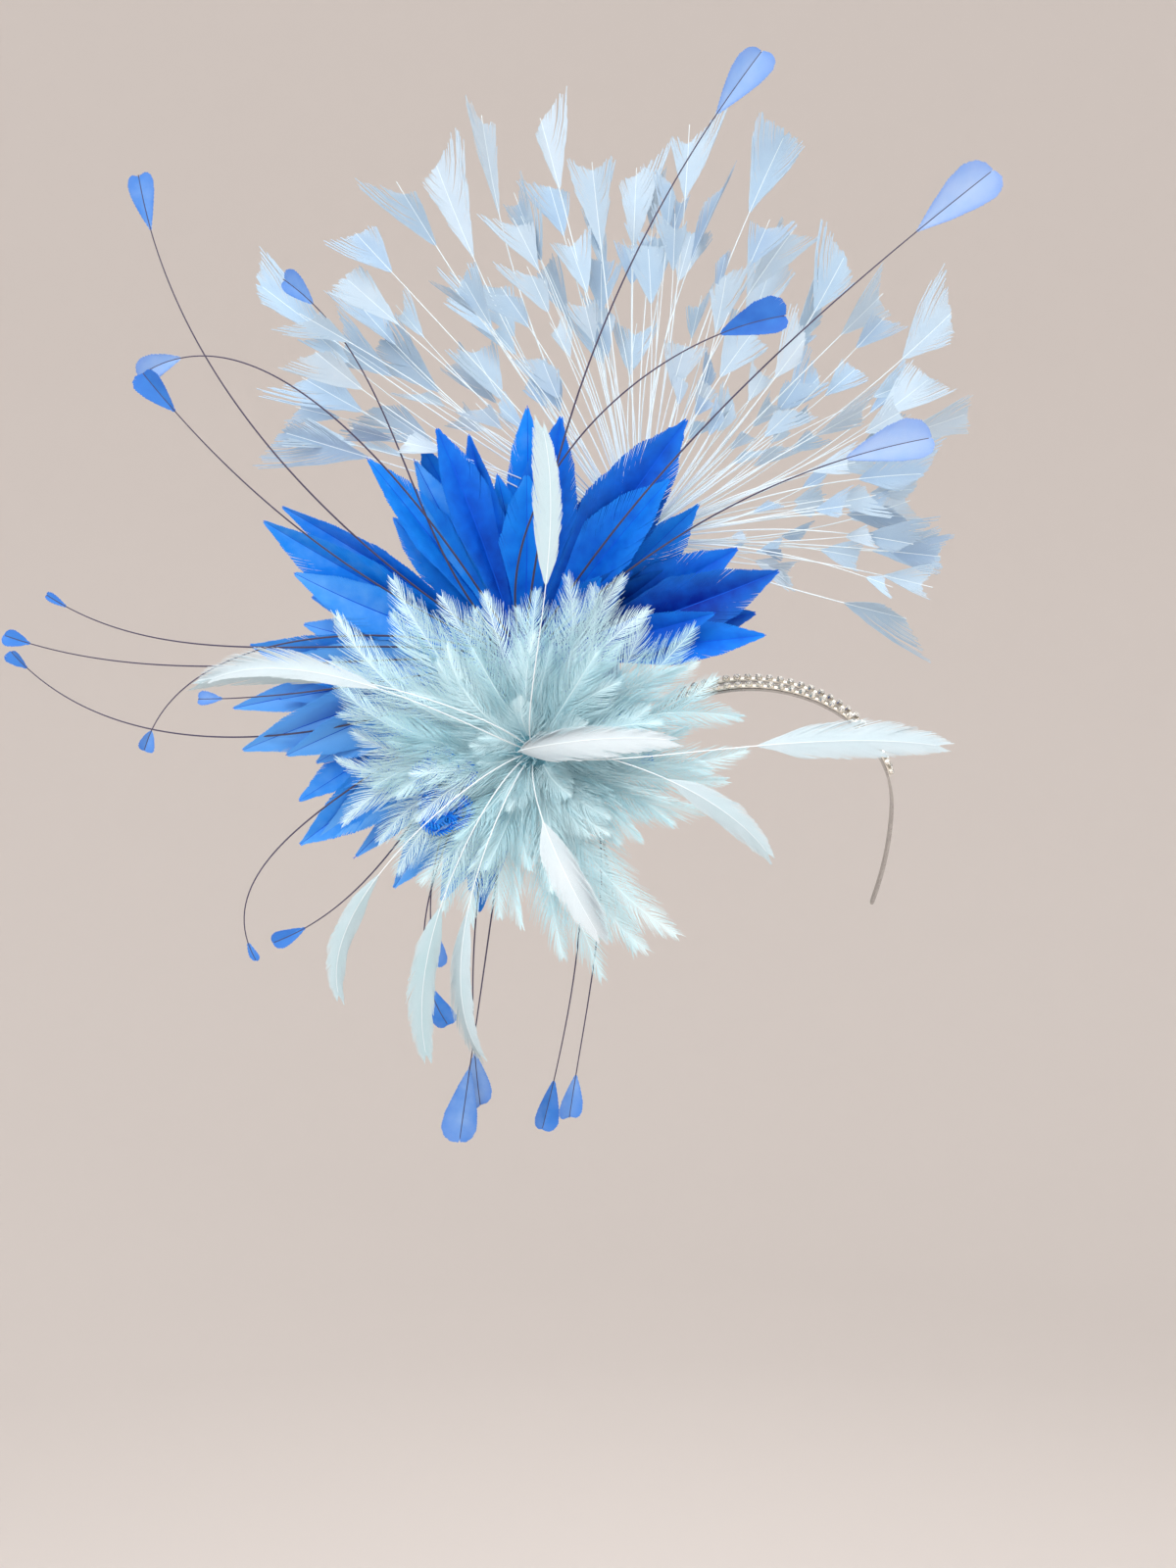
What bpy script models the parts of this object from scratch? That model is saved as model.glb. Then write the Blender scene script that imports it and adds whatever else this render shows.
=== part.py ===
"""Feather fascinator: a sprung steel headband with two crystal rows carries a saucer base on the
wearer's right side. The base carries a royal blue ruff of pointed goose petals, a rosette of soft
hackle locks, a high spray of stripped fishtail feathers, and loose arrow-tip and coque feathers.

Metres, +Z up, the face side towards -Y. The origin is the band's inner face at the top of the head.
Angles in the tables are degrees in the XZ plane, from +X towards +Z. Lean is degrees towards -Y.
Lengths in the tables are shares of the named sizes of the same group.
"""

import math

import bmesh
import bpy
from mathutils import Vector

GAP = 0.0003  # running gap between a piece and its seat

# Headband: half an ellipse over the head, then two arms that tuck in behind the ears
BAND_HALF_WIDTH = 0.072
BAND_RISE = 0.066
BAND_THICKNESS = 0.0012
BAND_TILT_DEG = 18.0  # the top leans forward
ARM_LENGTH = 0.052
ARM_TUCK = 0.008
ARM_TIP_HALF_WIDTH = 0.0027
BAND_STEPS = 42
BAND_END_STATION = 130.0  # stations up to 90 are degrees of the ellipse, the rest is the arm
RAIL_WIDTH = 0.0036
RAIL_OFFSET_TOP = 0.0050
RAIL_OFFSET_END = 0.0026
RAIL_JOIN_STATION = 80.0

# Crystal rows: cup chain along each rail
CRYSTAL_PITCH = 0.0052
CRYSTAL_RADIUS = 0.0019
CRYSTAL_HEIGHT = 0.0024
CRYSTAL_SIDES = 8
CHAIN_WIDTH = 0.0030
CHAIN_THICKNESS = 0.0007
ROW_START_STATION = -27.0
ROW_END_STATION = 73.0
ROW_STEPS = 22

# Saucer base with a saddle that is sewn over the band
SAUCER_STATION = -62.0  # where its rim meets the band
SAUCER_OUT_DEG = 151.0  # from there to its centre
SAUCER_FACING = Vector((-0.14, -0.985, 0.10)).normalized()
SAUCER_RADIUS = 0.046
SAUCER_THICKNESS = 0.0025
SAUCER_SIDES = 32
SADDLE_THICKNESS = 0.0025
SADDLE_HALF_WIDTH = 0.008
SADDLE_STATIONS = (-75.0, -69.0, -62.0, -55.0, -49.0)

# Royal ruff: two discs of petals in front of the saucer
ROYAL_OFFSET = Vector((-0.11, 0.0, 0.45))  # on the saucer, in shares of its radius
ROYAL_BACK_RADIUS = 0.026
ROYAL_FRONT_RADIUS = 0.020
ROYAL_DISC_THICKNESS = 0.0035
ROYAL_REACH = 0.150
PETAL_HALF_WIDTH = 0.0135
PETAL_HALF_THICKNESS = 0.0006

# Rosette: a bound post off the saucer, with a domed head that holds the locks
ROSETTE_OFFSET = Vector((0.01, 0.0, -0.46))  # on the saucer, in shares of its radius
ROSETTE_POST_RADIUS = 0.0055
ROSETTE_POST_LENGTH = 0.036
ROSETTE_HEAD_RADIUS = 0.012
ROSETTE_REACH = 0.122
LOCK_HALF_WIDTH = 0.0125
LOCK_HALF_THICKNESS = 0.0022

# Fishtail spray: bound quills rise behind the saucer and end in a domed head
SPRAY_SIDE = 0.051  # the head's centre, measured from the saucer's
SPRAY_SETBACK = 0.013
SPRAY_RISE = 0.080
STALK_OFFSET = Vector((0.25, 0.0, 0.36))  # its foot on the saucer, in shares of its radius
STALK_RADIUS = 0.0045
SPRAY_HEAD_RADIUS = 0.010
SPRAY_REACH = 0.225
FISHTAIL_HALF_WIDTH = 0.0125
FISHTAIL_HALF_THICKNESS = 0.0005
FISHTAIL_QUILL_RADIUS = 0.00055

# Loose feathers
ARROW_REACH = 0.317
ARROW_QUILL_RADIUS = 0.0005
ARROW_HALF_THICKNESS = 0.0005
ARROW_BLADE_LENGTH = 0.044
ARROW_SEAT_SHARE = 0.72  # how far out on the front ruff's disc the quills stand
COQUE_REACH = 0.200
COQUE_QUILL_RADIUS = 0.0006
COQUE_HALF_THICKNESS = 0.0006
COQUE_HALF_WIDTH = 0.0085

# Forms: share of the blade's length, share of its half width
PETAL_FORM = ((0.0, 0.20), (0.26, 0.46), (0.6, 1.0), (0.84, 0.66), (1.0, 0.0))
LOCK_FORM = ((0.0, 0.22), (0.22, 0.85), (0.5, 1.0), (0.78, 0.72), (1.0, 0.0))
ARROW_FORM = ((0.0, 0.06), (0.45, 0.72), (0.8, 1.0), (1.0, 0.45))
COQUE_FORM = ((0.0, 0.08), (0.28, 0.85), (0.6, 1.0), (0.85, 0.55), (1.0, 0.0))

# angle, reach, width, lean, sweep: the petals of each disc
ROYAL_BACK = (
    (147, 0.94, 0.75, 7, 3),
    (132, 0.64, 0.70, 4, 0),
    (115, 0.78, 1.05, 6, 4),
    (89, 0.84, 0.75, 5, 2),
    (63, 0.72, 0.90, 6, -2),
    (42, 0.77, 1.05, 7, 2),
    (28, 0.80, 0.95, 8, 3),
    (163, 0.73, 0.80, 4, 4),
    (189, 0.97, 0.70, 5, 3),
    (229, 0.86, 0.55, 8, -6),
    (251, 0.84, 0.85, 8, -3),
)
ROYAL_FRONT = (
    (151, 0.97, 1.00, 11, -3),
    (127, 0.85, 0.80, 12, 2),
    (110, 0.82, 0.90, 10, 3),
    (81, 0.81, 1.15, 9, 0),
    (56, 0.96, 1.30, 12, -3),
    (20, 0.90, 1.15, 14, 3),
    (7, 0.83, 0.80, 18, 0),
    (-38, 0.58, 0.90, 20, 0),
    (40, 0.50, 0.70, 22, 0),
    (176, 0.90, 1.05, 11, -8),
    (197, 0.97, 1.05, 13, 5),
    (219, 0.95, 1.10, 11, -3),
    (240, 0.86, 1.00, 11, -4),
    (260, 0.84, 0.90, 10, 3),
)

# angle, reach, width, lean, sweep: the locks of the rosette, from the back tier to the front
ROSETTE_LOCKS = (
    (3, 0.92, 1.00, 17, -4),
    (22, 0.78, 1.10, 16, 3),
    (41, 0.86, 1.10, 14, 5),
    (61, 0.79, 1.15, 11, 6),
    (81, 0.75, 1.15, 8, 3),
    (104, 0.66, 1.10, 6, -3),
    (127, 0.86, 1.10, 5, -4),
    (144, 0.93, 1.10, 4, -5),
    (162, 0.87, 1.10, 4, -6),
    (180, 0.80, 1.10, 5, -6),
    (199, 0.78, 1.10, 6, 4),
    (222, 0.72, 1.10, 7, 5),
    (244, 0.76, 1.15, 8, 4),
    (266, 0.74, 1.15, 10, 3),
    (285, 0.92, 1.00, 12, 4),
    (303, 0.98, 1.00, 15, 6),
    (323, 0.62, 1.15, 20, 4),
    (344, 0.78, 1.15, 19, -4),
    (12, 0.62, 1.10, 31, 0),
    (50, 0.60, 1.10, 27, 4),
    (88, 0.56, 1.10, 22, 0),
    (125, 0.60, 1.10, 20, -4),
    (163, 0.62, 1.10, 20, -4),
    (200, 0.60, 1.10, 22, 4),
    (238, 0.56, 1.10, 24, 4),
    (276, 0.58, 1.10, 27, 4),
    (314, 0.50, 1.10, 33, 0),
    (30, 0.36, 0.95, 46, 0),
    (102, 0.34, 0.95, 40, 0),
    (174, 0.34, 0.95, 40, 0),
    (246, 0.34, 0.95, 42, 0),
    (318, 0.34, 0.95, 48, 0),
)

# angle, reach, lean: the outer feathers that make the spray's outline
SPRAY_OUTER = (
    (146, 1.00, 6),
    (154, 0.84, -3),
    (163, 0.82, 3),
    (139, 0.88, -6),
    (124, 0.95, 4),
    (118, 0.97, -7),
    (110, 1.00, 2),
    (103, 0.97, -4),
    (97, 0.84, 7),
    (90, 0.84, -5),
    (83, 0.92, 3),
    (76, 0.82, -8),
    (70, 0.94, 4),
    (63, 0.78, -3),
    (54, 0.77, 5),
    (45, 0.79, -6),
    (36, 0.86, 2),
    (29, 0.76, -7),
    (21, 0.78, 4),
    (13, 0.66, -3),
    (5, 0.60, 5),
    (-3, 0.69, -4),
    (-9, 0.67, 2),
    (-16, 0.63, 7),
)
# count, first angle, last angle, least reach, most reach, lean: the tiers that fill the spray
SPRAY_TIERS = (
    (15, 158, -8, 0.60, 0.76, -14),
    (6, 150, 84, 0.50, 0.66, -26),
    (7, 66, -6, 0.46, 0.62, 14),
)

# name, leave angle, tip angle, tip reach, tip forward, arrive angle, blade length, blade half width
ARROWS = (
    ("arrow_tip_01", 84, 68.5, 0.985, 0.10, 52, 0.84, 0.20),
    ("arrow_tip_02", 58, 46.4, 1.000, 0.22, 38, 1.00, 0.25),
    ("arrow_tip_03", 100, 52.8, 0.644, 0.24, 8, 0.78, 0.20),
    ("arrow_tip_04", 44, 29.2, 0.691, 0.23, 10, 0.97, 0.24),
    ("arrow_tip_05", 146, 127.8, 0.924, 0.14, 98, 0.62, 0.14),
    ("arrow_tip_06", 120, 142.9, 0.713, 0.15, 215, 0.60, 0.16),
    ("arrow_tip_07", 154, 142.0, 0.707, 0.19, 128, 0.54, 0.15),
    ("arrow_tip_08", 134, 121.9, 0.686, 0.07, 146, 0.46, 0.13),
    ("arrow_tip_09", 168, 171.4, 0.718, 0.16, 146, 0.27, 0.05),
    ("arrow_tip_10", 176, 176.8, 0.789, 0.09, 160, 0.30, 0.10),
    ("arrow_tip_11", 205, 178.5, 0.774, 0.11, 130, 0.26, 0.09),
    ("arrow_tip_12", 162, 192.7, 0.585, 0.13, 255, 0.26, 0.10),
    ("arrow_tip_13", 186, 186.0, 0.494, 0.12, 180, 0.28, 0.09),
    ("arrow_tip_14", 222, 227.9, 0.597, 0.17, 300, 0.26, 0.05),
    ("arrow_tip_15", 232, 228.1, 0.571, 0.11, 200, 0.40, 0.10),
    ("arrow_tip_16", 240, 254.3, 0.480, 0.11, 285, 0.55, 0.14),
    ("arrow_tip_17", 249, 258.4, 0.555, 0.16, 305, 0.53, 0.14),
    ("arrow_tip_18", 264, 262.4, 0.742, 0.10, 262, 0.83, 0.20),
    ("arrow_tip_19", 256, 264.5, 0.689, 0.08, 278, 0.60, 0.18),
    ("arrow_tip_20", 300, 272.3, 0.720, 0.09, 256, 0.58, 0.14),
    ("arrow_tip_21", 313, 275.8, 0.702, 0.11, 262, 0.50, 0.14),
)

# name, leave angle, tip angle, tip reach, tip forward, arrive angle, blade share, half width
COQUES = (
    ("coque_plume_01", 100, 88.8, 0.80, 0.20, 108, 0.46, 0.90),
    ("coque_plume_02", 150, 167.6, 0.79, 0.26, 212, 0.50, 0.95),
    ("coque_plume_03", 128, 169.0, 0.83, 0.16, 205, 0.44, 0.80),
    ("coque_plume_04", 172, 6.0, 0.36, 0.24, 344, 0.84, 1.05),
    ("coque_plume_05", 20, 337.1, 0.61, 0.30, 300, 0.46, 0.85),
    ("coque_plume_06", 352, 1.7, 0.98, 0.30, 348, 0.42, 1.15),
    ("coque_plume_07", 190, 232.7, 0.73, 0.24, 292, 0.42, 0.75),
    ("coque_plume_08", 212, 251.9, 0.77, 0.22, 288, 0.46, 0.85),
    ("coque_plume_09", 232, 262.1, 0.72, 0.28, 310, 0.48, 0.85),
    ("coque_plume_10", 268, 292.3, 0.45, 0.40, 300, 0.62, 1.15),
)

RIGHT = Vector((1.0, 0.0, 0.0))
FORWARD = Vector((0.0, -1.0, 0.0))


def clear_scene():
    for obj in list(bpy.data.objects):
        bpy.data.objects.remove(obj, do_unlink=True)


def make_material(name, colour, roughness, metallic=0.0):
    made = bpy.data.materials.new(name)
    made.use_nodes = True
    shader = made.node_tree.nodes["Principled BSDF"]
    shader.inputs["Base Color"].default_value = (*colour, 1.0)
    shader.inputs["Roughness"].default_value = roughness
    shader.inputs["Metallic"].default_value = metallic
    made.diffuse_color = (*colour, 1.0)
    return made


def object_from(name, shape, material):
    """Turns a bmesh into a smooth-shaded object whose faces point outwards."""
    bmesh.ops.recalc_face_normals(shape, faces=shape.faces[:])
    mesh = bpy.data.meshes.new(name)
    shape.to_mesh(mesh)
    shape.free()
    obj = bpy.data.objects.new(name, mesh)
    bpy.context.scene.collection.objects.link(obj)
    mesh.materials.append(material)
    mesh.shade_smooth()
    mesh.set_sharp_from_angle(angle=math.radians(35))
    return obj


def join_into(obj, helper, self_crossing=False):
    """Fuses a helper object into obj and keeps the helper out of the model."""
    helper.hide_render = True
    helper.display_type = "WIRE"
    union = obj.modifiers.new("fuse", "BOOLEAN")
    union.operation = "UNION"
    union.solver = "EXACT"
    union.use_self = self_crossing
    union.object = helper


def direction(angle, lean=0.0):
    """Unit vector at an angle in the XZ plane, leaning towards the front."""
    a, up = math.radians(angle), math.radians(lean)
    return Vector((math.cos(a) * math.cos(up), -math.sin(up), math.sin(a) * math.cos(up)))


def cubic(root, leave, tip, arrive, t):
    """Point on the curve that leaves root along one direction and arrives at tip along another."""
    span = (tip - root).length
    first = root + leave * (span * 0.38)
    last = tip - arrive * (span * 0.34)
    u = 1.0 - t
    return root * u**3 + first * (3 * u * u * t) + last * (3 * u * t * t) + tip * t**3


def diamond(point, along, facing, half_width, half_thickness, ahead=0.0):
    """Four corners of a blade's section: two edges and the two sides of its rib."""
    along = along.normalized()
    face = (facing - along * facing.dot(along)).normalized()
    side = along.cross(face)
    return [
        point - side * half_width + along * ahead,
        point + face * half_thickness,
        point + side * half_width + along * ahead,
        point - face * half_thickness,
    ]


def loft(shape, rings):
    """Adds one closed body through four-corner rings. A one-point ring ends it in a tip."""
    made = [[shape.verts.new(corner) for corner in ring] for ring in rings]
    faces = []
    for first, second in zip(made, made[1:]):
        for i in range(4):
            j = (i + 1) % 4
            if len(second) == 1:
                faces.append((first[i], first[j], second[0]))
            else:
                faces.append((first[i], first[j], second[j], second[i]))
    faces.append(tuple(reversed(made[0])))
    if len(made[-1]) == 4:
        left, front, right, back = made[-1]
        faces.append((left, front, back))
        faces.append((right, back, front))
    made_faces = [shape.faces.new(corners) for corners in faces]
    bmesh.ops.triangulate(shape, faces=made_faces)


def blade_rings(path, form, start, half_width, half_thickness, facing, root_thickness):
    """Rings of a blade that runs from t = start to the end of its path."""
    rings = []
    for share, wide in form:
        t = start + (1.0 - start) * share
        point, along = path(t), path(min(t + 0.01, 1.0)) - path(min(t, 0.99))
        if wide == 0.0:
            rings.append([point])
        else:
            thick = root_thickness if share == 0.0 else half_thickness
            rings.append(diamond(point, along, facing, half_width * wide, thick))
    return rings


def quill_rings(path, end, radius, steps, facing):
    """Rings of a bare quill from the root of its path up to t = end."""
    rings = []
    for i in range(steps):
        t = end * i / steps
        along = path(t + 0.01) - path(t)
        rings.append(diamond(path(t), along, facing, radius, radius))
    return rings


def disc(shape, centre, axis, radius, thickness, sides, crown=0.0):
    """Adds a flat or gently crowned disc. Its faces lie half a thickness off the centre."""
    across = axis.orthogonal().normalized()
    up = axis.cross(across)
    rims = []
    for height in (-0.5 * thickness, 0.5 * thickness):
        rim = []
        for i in range(sides):
            turn = 2 * math.pi * i / sides
            rim.append(shape.verts.new(
                centre + axis * height + (across * math.cos(turn) + up * math.sin(turn)) * radius))
        rims.append(rim)
    low, high = rims
    for i in range(sides):
        j = (i + 1) % sides
        shape.faces.new((low[i], low[j], high[j], high[i]))
    for rim, height in ((low, -0.5 * thickness + crown), (high, 0.5 * thickness + crown)):
        middle = shape.verts.new(centre + axis * height)
        for i in range(sides):
            shape.faces.new((rim[i], rim[(i + 1) % sides], middle))


def domed_head(shape, centre, axis, radius, sides=12, tiers=4):
    """Adds a ball that is cut flat at the back, a third of its radius behind its centre."""
    across = axis.orthogonal().normalized()
    up = axis.cross(across)
    lowest = math.asin(-1.0 / 3.0)
    rings = []
    for tier in range(tiers):
        rise = lowest + (0.5 * math.pi - lowest) * tier / tiers
        ring = []
        for i in range(sides):
            turn = 2 * math.pi * i / sides
            flat = (across * math.cos(turn) + up * math.sin(turn)) * math.cos(rise)
            ring.append(shape.verts.new(centre + (flat + axis * math.sin(rise)) * radius))
        rings.append(ring)
    pole = shape.verts.new(centre + axis * radius)
    for first, second in zip(rings, rings[1:]):
        for i in range(sides):
            j = (i + 1) % sides
            shape.faces.new((first[i], first[j], second[j], second[i]))
    for i in range(sides):
        shape.faces.new((rings[-1][i], rings[-1][(i + 1) % sides], pole))
    shape.faces.new(tuple(reversed(rings[0])))


def tube(shape, points, radius, sides=12):
    """Adds a round bar through points, with flat ends."""
    rings = []
    for i, point in enumerate(points):
        along = (points[min(i + 1, len(points) - 1)] - points[max(i - 1, 0)]).normalized()
        across = along.cross(RIGHT).normalized()
        up = along.cross(across)
        ring = []
        for k in range(sides):
            turn = 2 * math.pi * k / sides
            ring.append(shape.verts.new(
                point + (across * math.cos(turn) + up * math.sin(turn)) * radius))
        rings.append(ring)
    for first, second in zip(rings, rings[1:]):
        for k in range(sides):
            j = (k + 1) % sides
            shape.faces.new((first[k], first[j], second[j], second[k]))
    shape.faces.new(tuple(reversed(rings[0])))
    shape.faces.new(tuple(rings[-1]))


# The band's own frame: RIGHT, band_up in its tilted plane, and band_back across its width

TILT = math.radians(BAND_TILT_DEG)
BAND_UP = Vector((0.0, -math.sin(TILT), math.cos(TILT)))
BAND_BACK = Vector((0.0, math.cos(TILT), math.sin(TILT)))


def band_line(station):
    """Middle of the band's thickness as (right, up), measured from the ellipse's centre."""
    if abs(station) <= 90.0:
        a = math.radians(station)
        return BAND_HALF_WIDTH * math.sin(a), BAND_RISE * math.cos(a)
    arm = (abs(station) - 90.0) / (BAND_END_STATION - 90.0)
    right = BAND_HALF_WIDTH - ARM_TUCK * arm * arm
    return math.copysign(right, station), -ARM_LENGTH * arm


def band_point(station, across=0.0, out=0.0):
    """Point at a station, so far across the band and so far outside its middle surface."""
    x, u = band_line(station)
    x0, u0 = band_line(station - 0.5)
    x1, u1 = band_line(station + 0.5)
    run = math.hypot(x1 - x0, u1 - u0)
    normal = (-(u1 - u0) / run, (x1 - x0) / run)
    top = BAND_RISE - 0.5 * BAND_THICKNESS
    right, rise = x + normal[0] * out, u + normal[1] * out - top
    return RIGHT * right + BAND_UP * rise + BAND_BACK * across


def rail_offset(station):
    """How far the middle of each rail lies from the band's own middle."""
    share = min(abs(station) / RAIL_JOIN_STATION, 1.0) ** 3
    return RAIL_OFFSET_TOP + (RAIL_OFFSET_END - RAIL_OFFSET_TOP) * share


def band_half_width(station):
    joined = RAIL_OFFSET_END + 0.5 * RAIL_WIDTH
    if abs(station) <= RAIL_JOIN_STATION:
        return rail_offset(station) + 0.5 * RAIL_WIDTH
    share = (abs(station) - RAIL_JOIN_STATION) / (BAND_END_STATION - RAIL_JOIN_STATION)
    rounding = 0.55 if share > 0.999 else 1.0
    return (joined + (ARM_TIP_HALF_WIDTH - joined) * share) * rounding


def build_headband(material):
    shape = bmesh.new()
    stations = [BAND_END_STATION * (2.0 * i / BAND_STEPS - 1.0) for i in range(BAND_STEPS + 1)]
    rows = []
    for station in stations:
        half = band_half_width(station)
        slot = max(rail_offset(station) - 0.5 * RAIL_WIDTH, 0.0004)
        row = {}
        for side, out in (("in", -0.5 * BAND_THICKNESS), ("out", 0.5 * BAND_THICKNESS)):
            row[side] = [shape.verts.new(band_point(station, across, out))
                         for across in (-half, -slot, slot, half)]
        rows.append(row)
    slotted = [abs(a + b) / 2.0 < RAIL_JOIN_STATION for a, b in zip(stations, stations[1:])]
    for i, (a, b) in enumerate(zip(rows, rows[1:])):
        for strip in range(3):
            if strip == 1 and slotted[i]:
                continue
            for side in ("in", "out"):
                shape.faces.new((a[side][strip], a[side][strip + 1],
                                 b[side][strip + 1], b[side][strip]))
        walls = (0, 1, 2, 3) if slotted[i] else (0, 3)
        for wall in walls:
            shape.faces.new((a["in"][wall], b["in"][wall], b["out"][wall], a["out"][wall]))
        if i and slotted[i] != slotted[i - 1]:
            shape.faces.new((a["in"][1], a["in"][2], a["out"][2], a["out"][1]))
    for row in (rows[0], rows[-1]):
        for strip in range(3):
            shape.faces.new((row["in"][strip], row["in"][strip + 1],
                             row["out"][strip + 1], row["out"][strip]))
    return object_from("headband", shape, material)


def row_stations():
    """Stations of the crystals, a pitch apart along the band."""
    found, station = [], ROW_START_STATION + 1.6
    while station < ROW_END_STATION - 1.6:
        found.append(station)
        step = (band_point(station + 0.5) - band_point(station - 0.5)).length
        station += CRYSTAL_PITCH / step
    return found


def build_crystal_row(name, side, material):
    """One cup chain: a thin strip with a faceted crystal in each cup."""
    floor = 0.5 * BAND_THICKNESS + GAP
    shape = bmesh.new()
    rings = []
    for i in range(ROW_STEPS + 1):
        station = ROW_START_STATION + (ROW_END_STATION - ROW_START_STATION) * i / ROW_STEPS
        middle = side * rail_offset(station)
        near, far = middle - 0.5 * CHAIN_WIDTH, middle + 0.5 * CHAIN_WIDTH
        rings.append([band_point(station, near, floor),
                      band_point(station, near, floor + CHAIN_THICKNESS),
                      band_point(station, far, floor + CHAIN_THICKNESS),
                      band_point(station, far, floor)])
    loft(shape, rings)
    strip = object_from(name, shape, material)

    cups = bmesh.new()
    base = floor + 0.5 * CHAIN_THICKNESS
    profile = ((0.84, 0.0), (1.0, 0.60), (0.58, 1.0))  # share of radius, share of height
    for station in row_stations():
        middle = side * rail_offset(station)
        centre = band_point(station, middle, base)
        out = (band_point(station, middle, base + 0.001) - centre).normalized()
        along = BAND_BACK.cross(out).normalized()
        levels = []
        for wide, high in profile:
            level = []
            for i in range(CRYSTAL_SIDES):
                turn = 2 * math.pi * (i + 0.5) / CRYSTAL_SIDES
                flat = along * math.cos(turn) + BAND_BACK * math.sin(turn)
                level.append(cups.verts.new(
                    centre + flat * (CRYSTAL_RADIUS * wide) + out * (CRYSTAL_HEIGHT * high)))
            levels.append(level)
        for low, high in zip(levels, levels[1:]):
            for i in range(CRYSTAL_SIDES):
                j = (i + 1) % CRYSTAL_SIDES
                cups.faces.new((low[i], low[j], high[j], high[i]))
        cups.faces.new(tuple(reversed(levels[0])))
        cups.faces.new(tuple(levels[-1]))
    join_into(strip, object_from(name + "_cups", cups, material))
    return strip


def on_plane(point, centre, facing, clearance=0.0):
    """Moves a point along the view to lie so far in front of a plane."""
    depth = (clearance - (point - centre).dot(facing)) / facing.dot(FORWARD)
    return point + FORWARD * depth


def saucer_centre():
    """The saucer's plane runs through the middle of its saddle, which laps over its rim."""
    seat = band_point(SAUCER_STATION, 0.0, 0.5 * (BAND_THICKNESS + SADDLE_THICKNESS) + GAP)
    out = seat + direction(SAUCER_OUT_DEG) * SAUCER_RADIUS
    return on_plane(out, seat, SAUCER_FACING)


def seated_on_saucer(offset, clearance):
    """Point at an offset in shares of the saucer's radius, so far clear of its middle plane."""
    centre = saucer_centre()
    return on_plane(centre + offset * SAUCER_RADIUS, centre, SAUCER_FACING, clearance)


def build_saucer(material):
    shape = bmesh.new()
    disc(shape, saucer_centre(), SAUCER_FACING, SAUCER_RADIUS, SAUCER_THICKNESS, SAUCER_SIDES)
    saucer = object_from("saucer_base", shape, material)
    saddle = bmesh.new()
    low = 0.5 * BAND_THICKNESS + GAP
    rings = []
    for station in SADDLE_STATIONS:
        rings.append([band_point(station, -SADDLE_HALF_WIDTH, low),
                      band_point(station, -SADDLE_HALF_WIDTH, low + SADDLE_THICKNESS),
                      band_point(station, SADDLE_HALF_WIDTH, low + SADDLE_THICKNESS),
                      band_point(station, SADDLE_HALF_WIDTH, low)])
    loft(saddle, rings)
    join_into(saucer, object_from("saucer_saddle", saddle, material))
    return saucer


def petal(shape, root, tip, row, half_width, half_thickness, form):
    """A pointed blade from root to tip that sweeps a little to one side."""
    angle, _, wide, lean, sweep = row
    leave, arrive = direction(angle - sweep, lean), direction(angle + sweep, lean)

    def path(t):
        return cubic(root, leave, tip, arrive, t)

    loft(shape, blade_rings(path, form, 0.0, half_width * wide, half_thickness,
                            FORWARD, half_thickness))


def build_royal_ruff(name, table, radius, layer, material):
    """A disc with pointed petals round its rim. Layer 0 lies on the saucer, layer 1 on layer 0."""
    step = ROYAL_DISC_THICKNESS + GAP
    clearance = 0.5 * SAUCER_THICKNESS + GAP + 0.5 * ROYAL_DISC_THICKNESS + layer * step
    centre = seated_on_saucer(ROYAL_OFFSET, clearance)
    shape = bmesh.new()
    disc(shape, centre, SAUCER_FACING, radius, ROYAL_DISC_THICKNESS, 20)
    ruff = object_from(name, shape, material)
    petals = bmesh.new()
    for row in table:
        angle, share, _, lean, _ = row
        root = on_plane(centre + direction(angle) * (radius * 0.75), centre, SAUCER_FACING)
        tip = centre + direction(angle, lean) * (ROYAL_REACH * share)
        petal(petals, root, tip, row, PETAL_HALF_WIDTH, PETAL_HALF_THICKNESS, PETAL_FORM)
    join_into(ruff, object_from(name + "_petals", petals, material), self_crossing=True)
    return centre


def build_rosette(material):
    """A bound post off the saucer, then the domed head with its locks."""
    foot = seated_on_saucer(ROSETTE_OFFSET, 0.5 * SAUCER_THICKNESS + GAP)
    centre = foot + FORWARD * ROSETTE_POST_LENGTH
    shape = bmesh.new()
    domed_head(shape, centre, FORWARD, ROSETTE_HEAD_RADIUS)
    rosette = object_from("hackle_rosette", shape, material)
    parts = bmesh.new()
    tube(parts, [foot, foot + SAUCER_FACING * 0.008, centre], ROSETTE_POST_RADIUS)
    for row in ROSETTE_LOCKS:
        along = direction(row[0], row[3])
        root = centre + along * (ROSETTE_HEAD_RADIUS * 0.72)
        tip = centre + along * (ROSETTE_REACH * row[1])
        petal(parts, root, tip, row, LOCK_HALF_WIDTH, LOCK_HALF_THICKNESS, LOCK_FORM)
    join_into(rosette, object_from("rosette_locks", parts, material), self_crossing=True)
    return centre


def spray_rows():
    """All feathers of the spray as angle, reach share and lean."""
    rows = list(SPRAY_OUTER)
    for count, first, last, least, most, lean in SPRAY_TIERS:
        for i in range(count):
            angle = first + (last - first) * (i + 0.5) / count
            share = least + (most - least) * (0.5 + 0.5 * math.sin(2.4 * i))
            rows.append((angle, share, lean + 6.0 * math.sin(1.7 * i)))
    return rows


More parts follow.
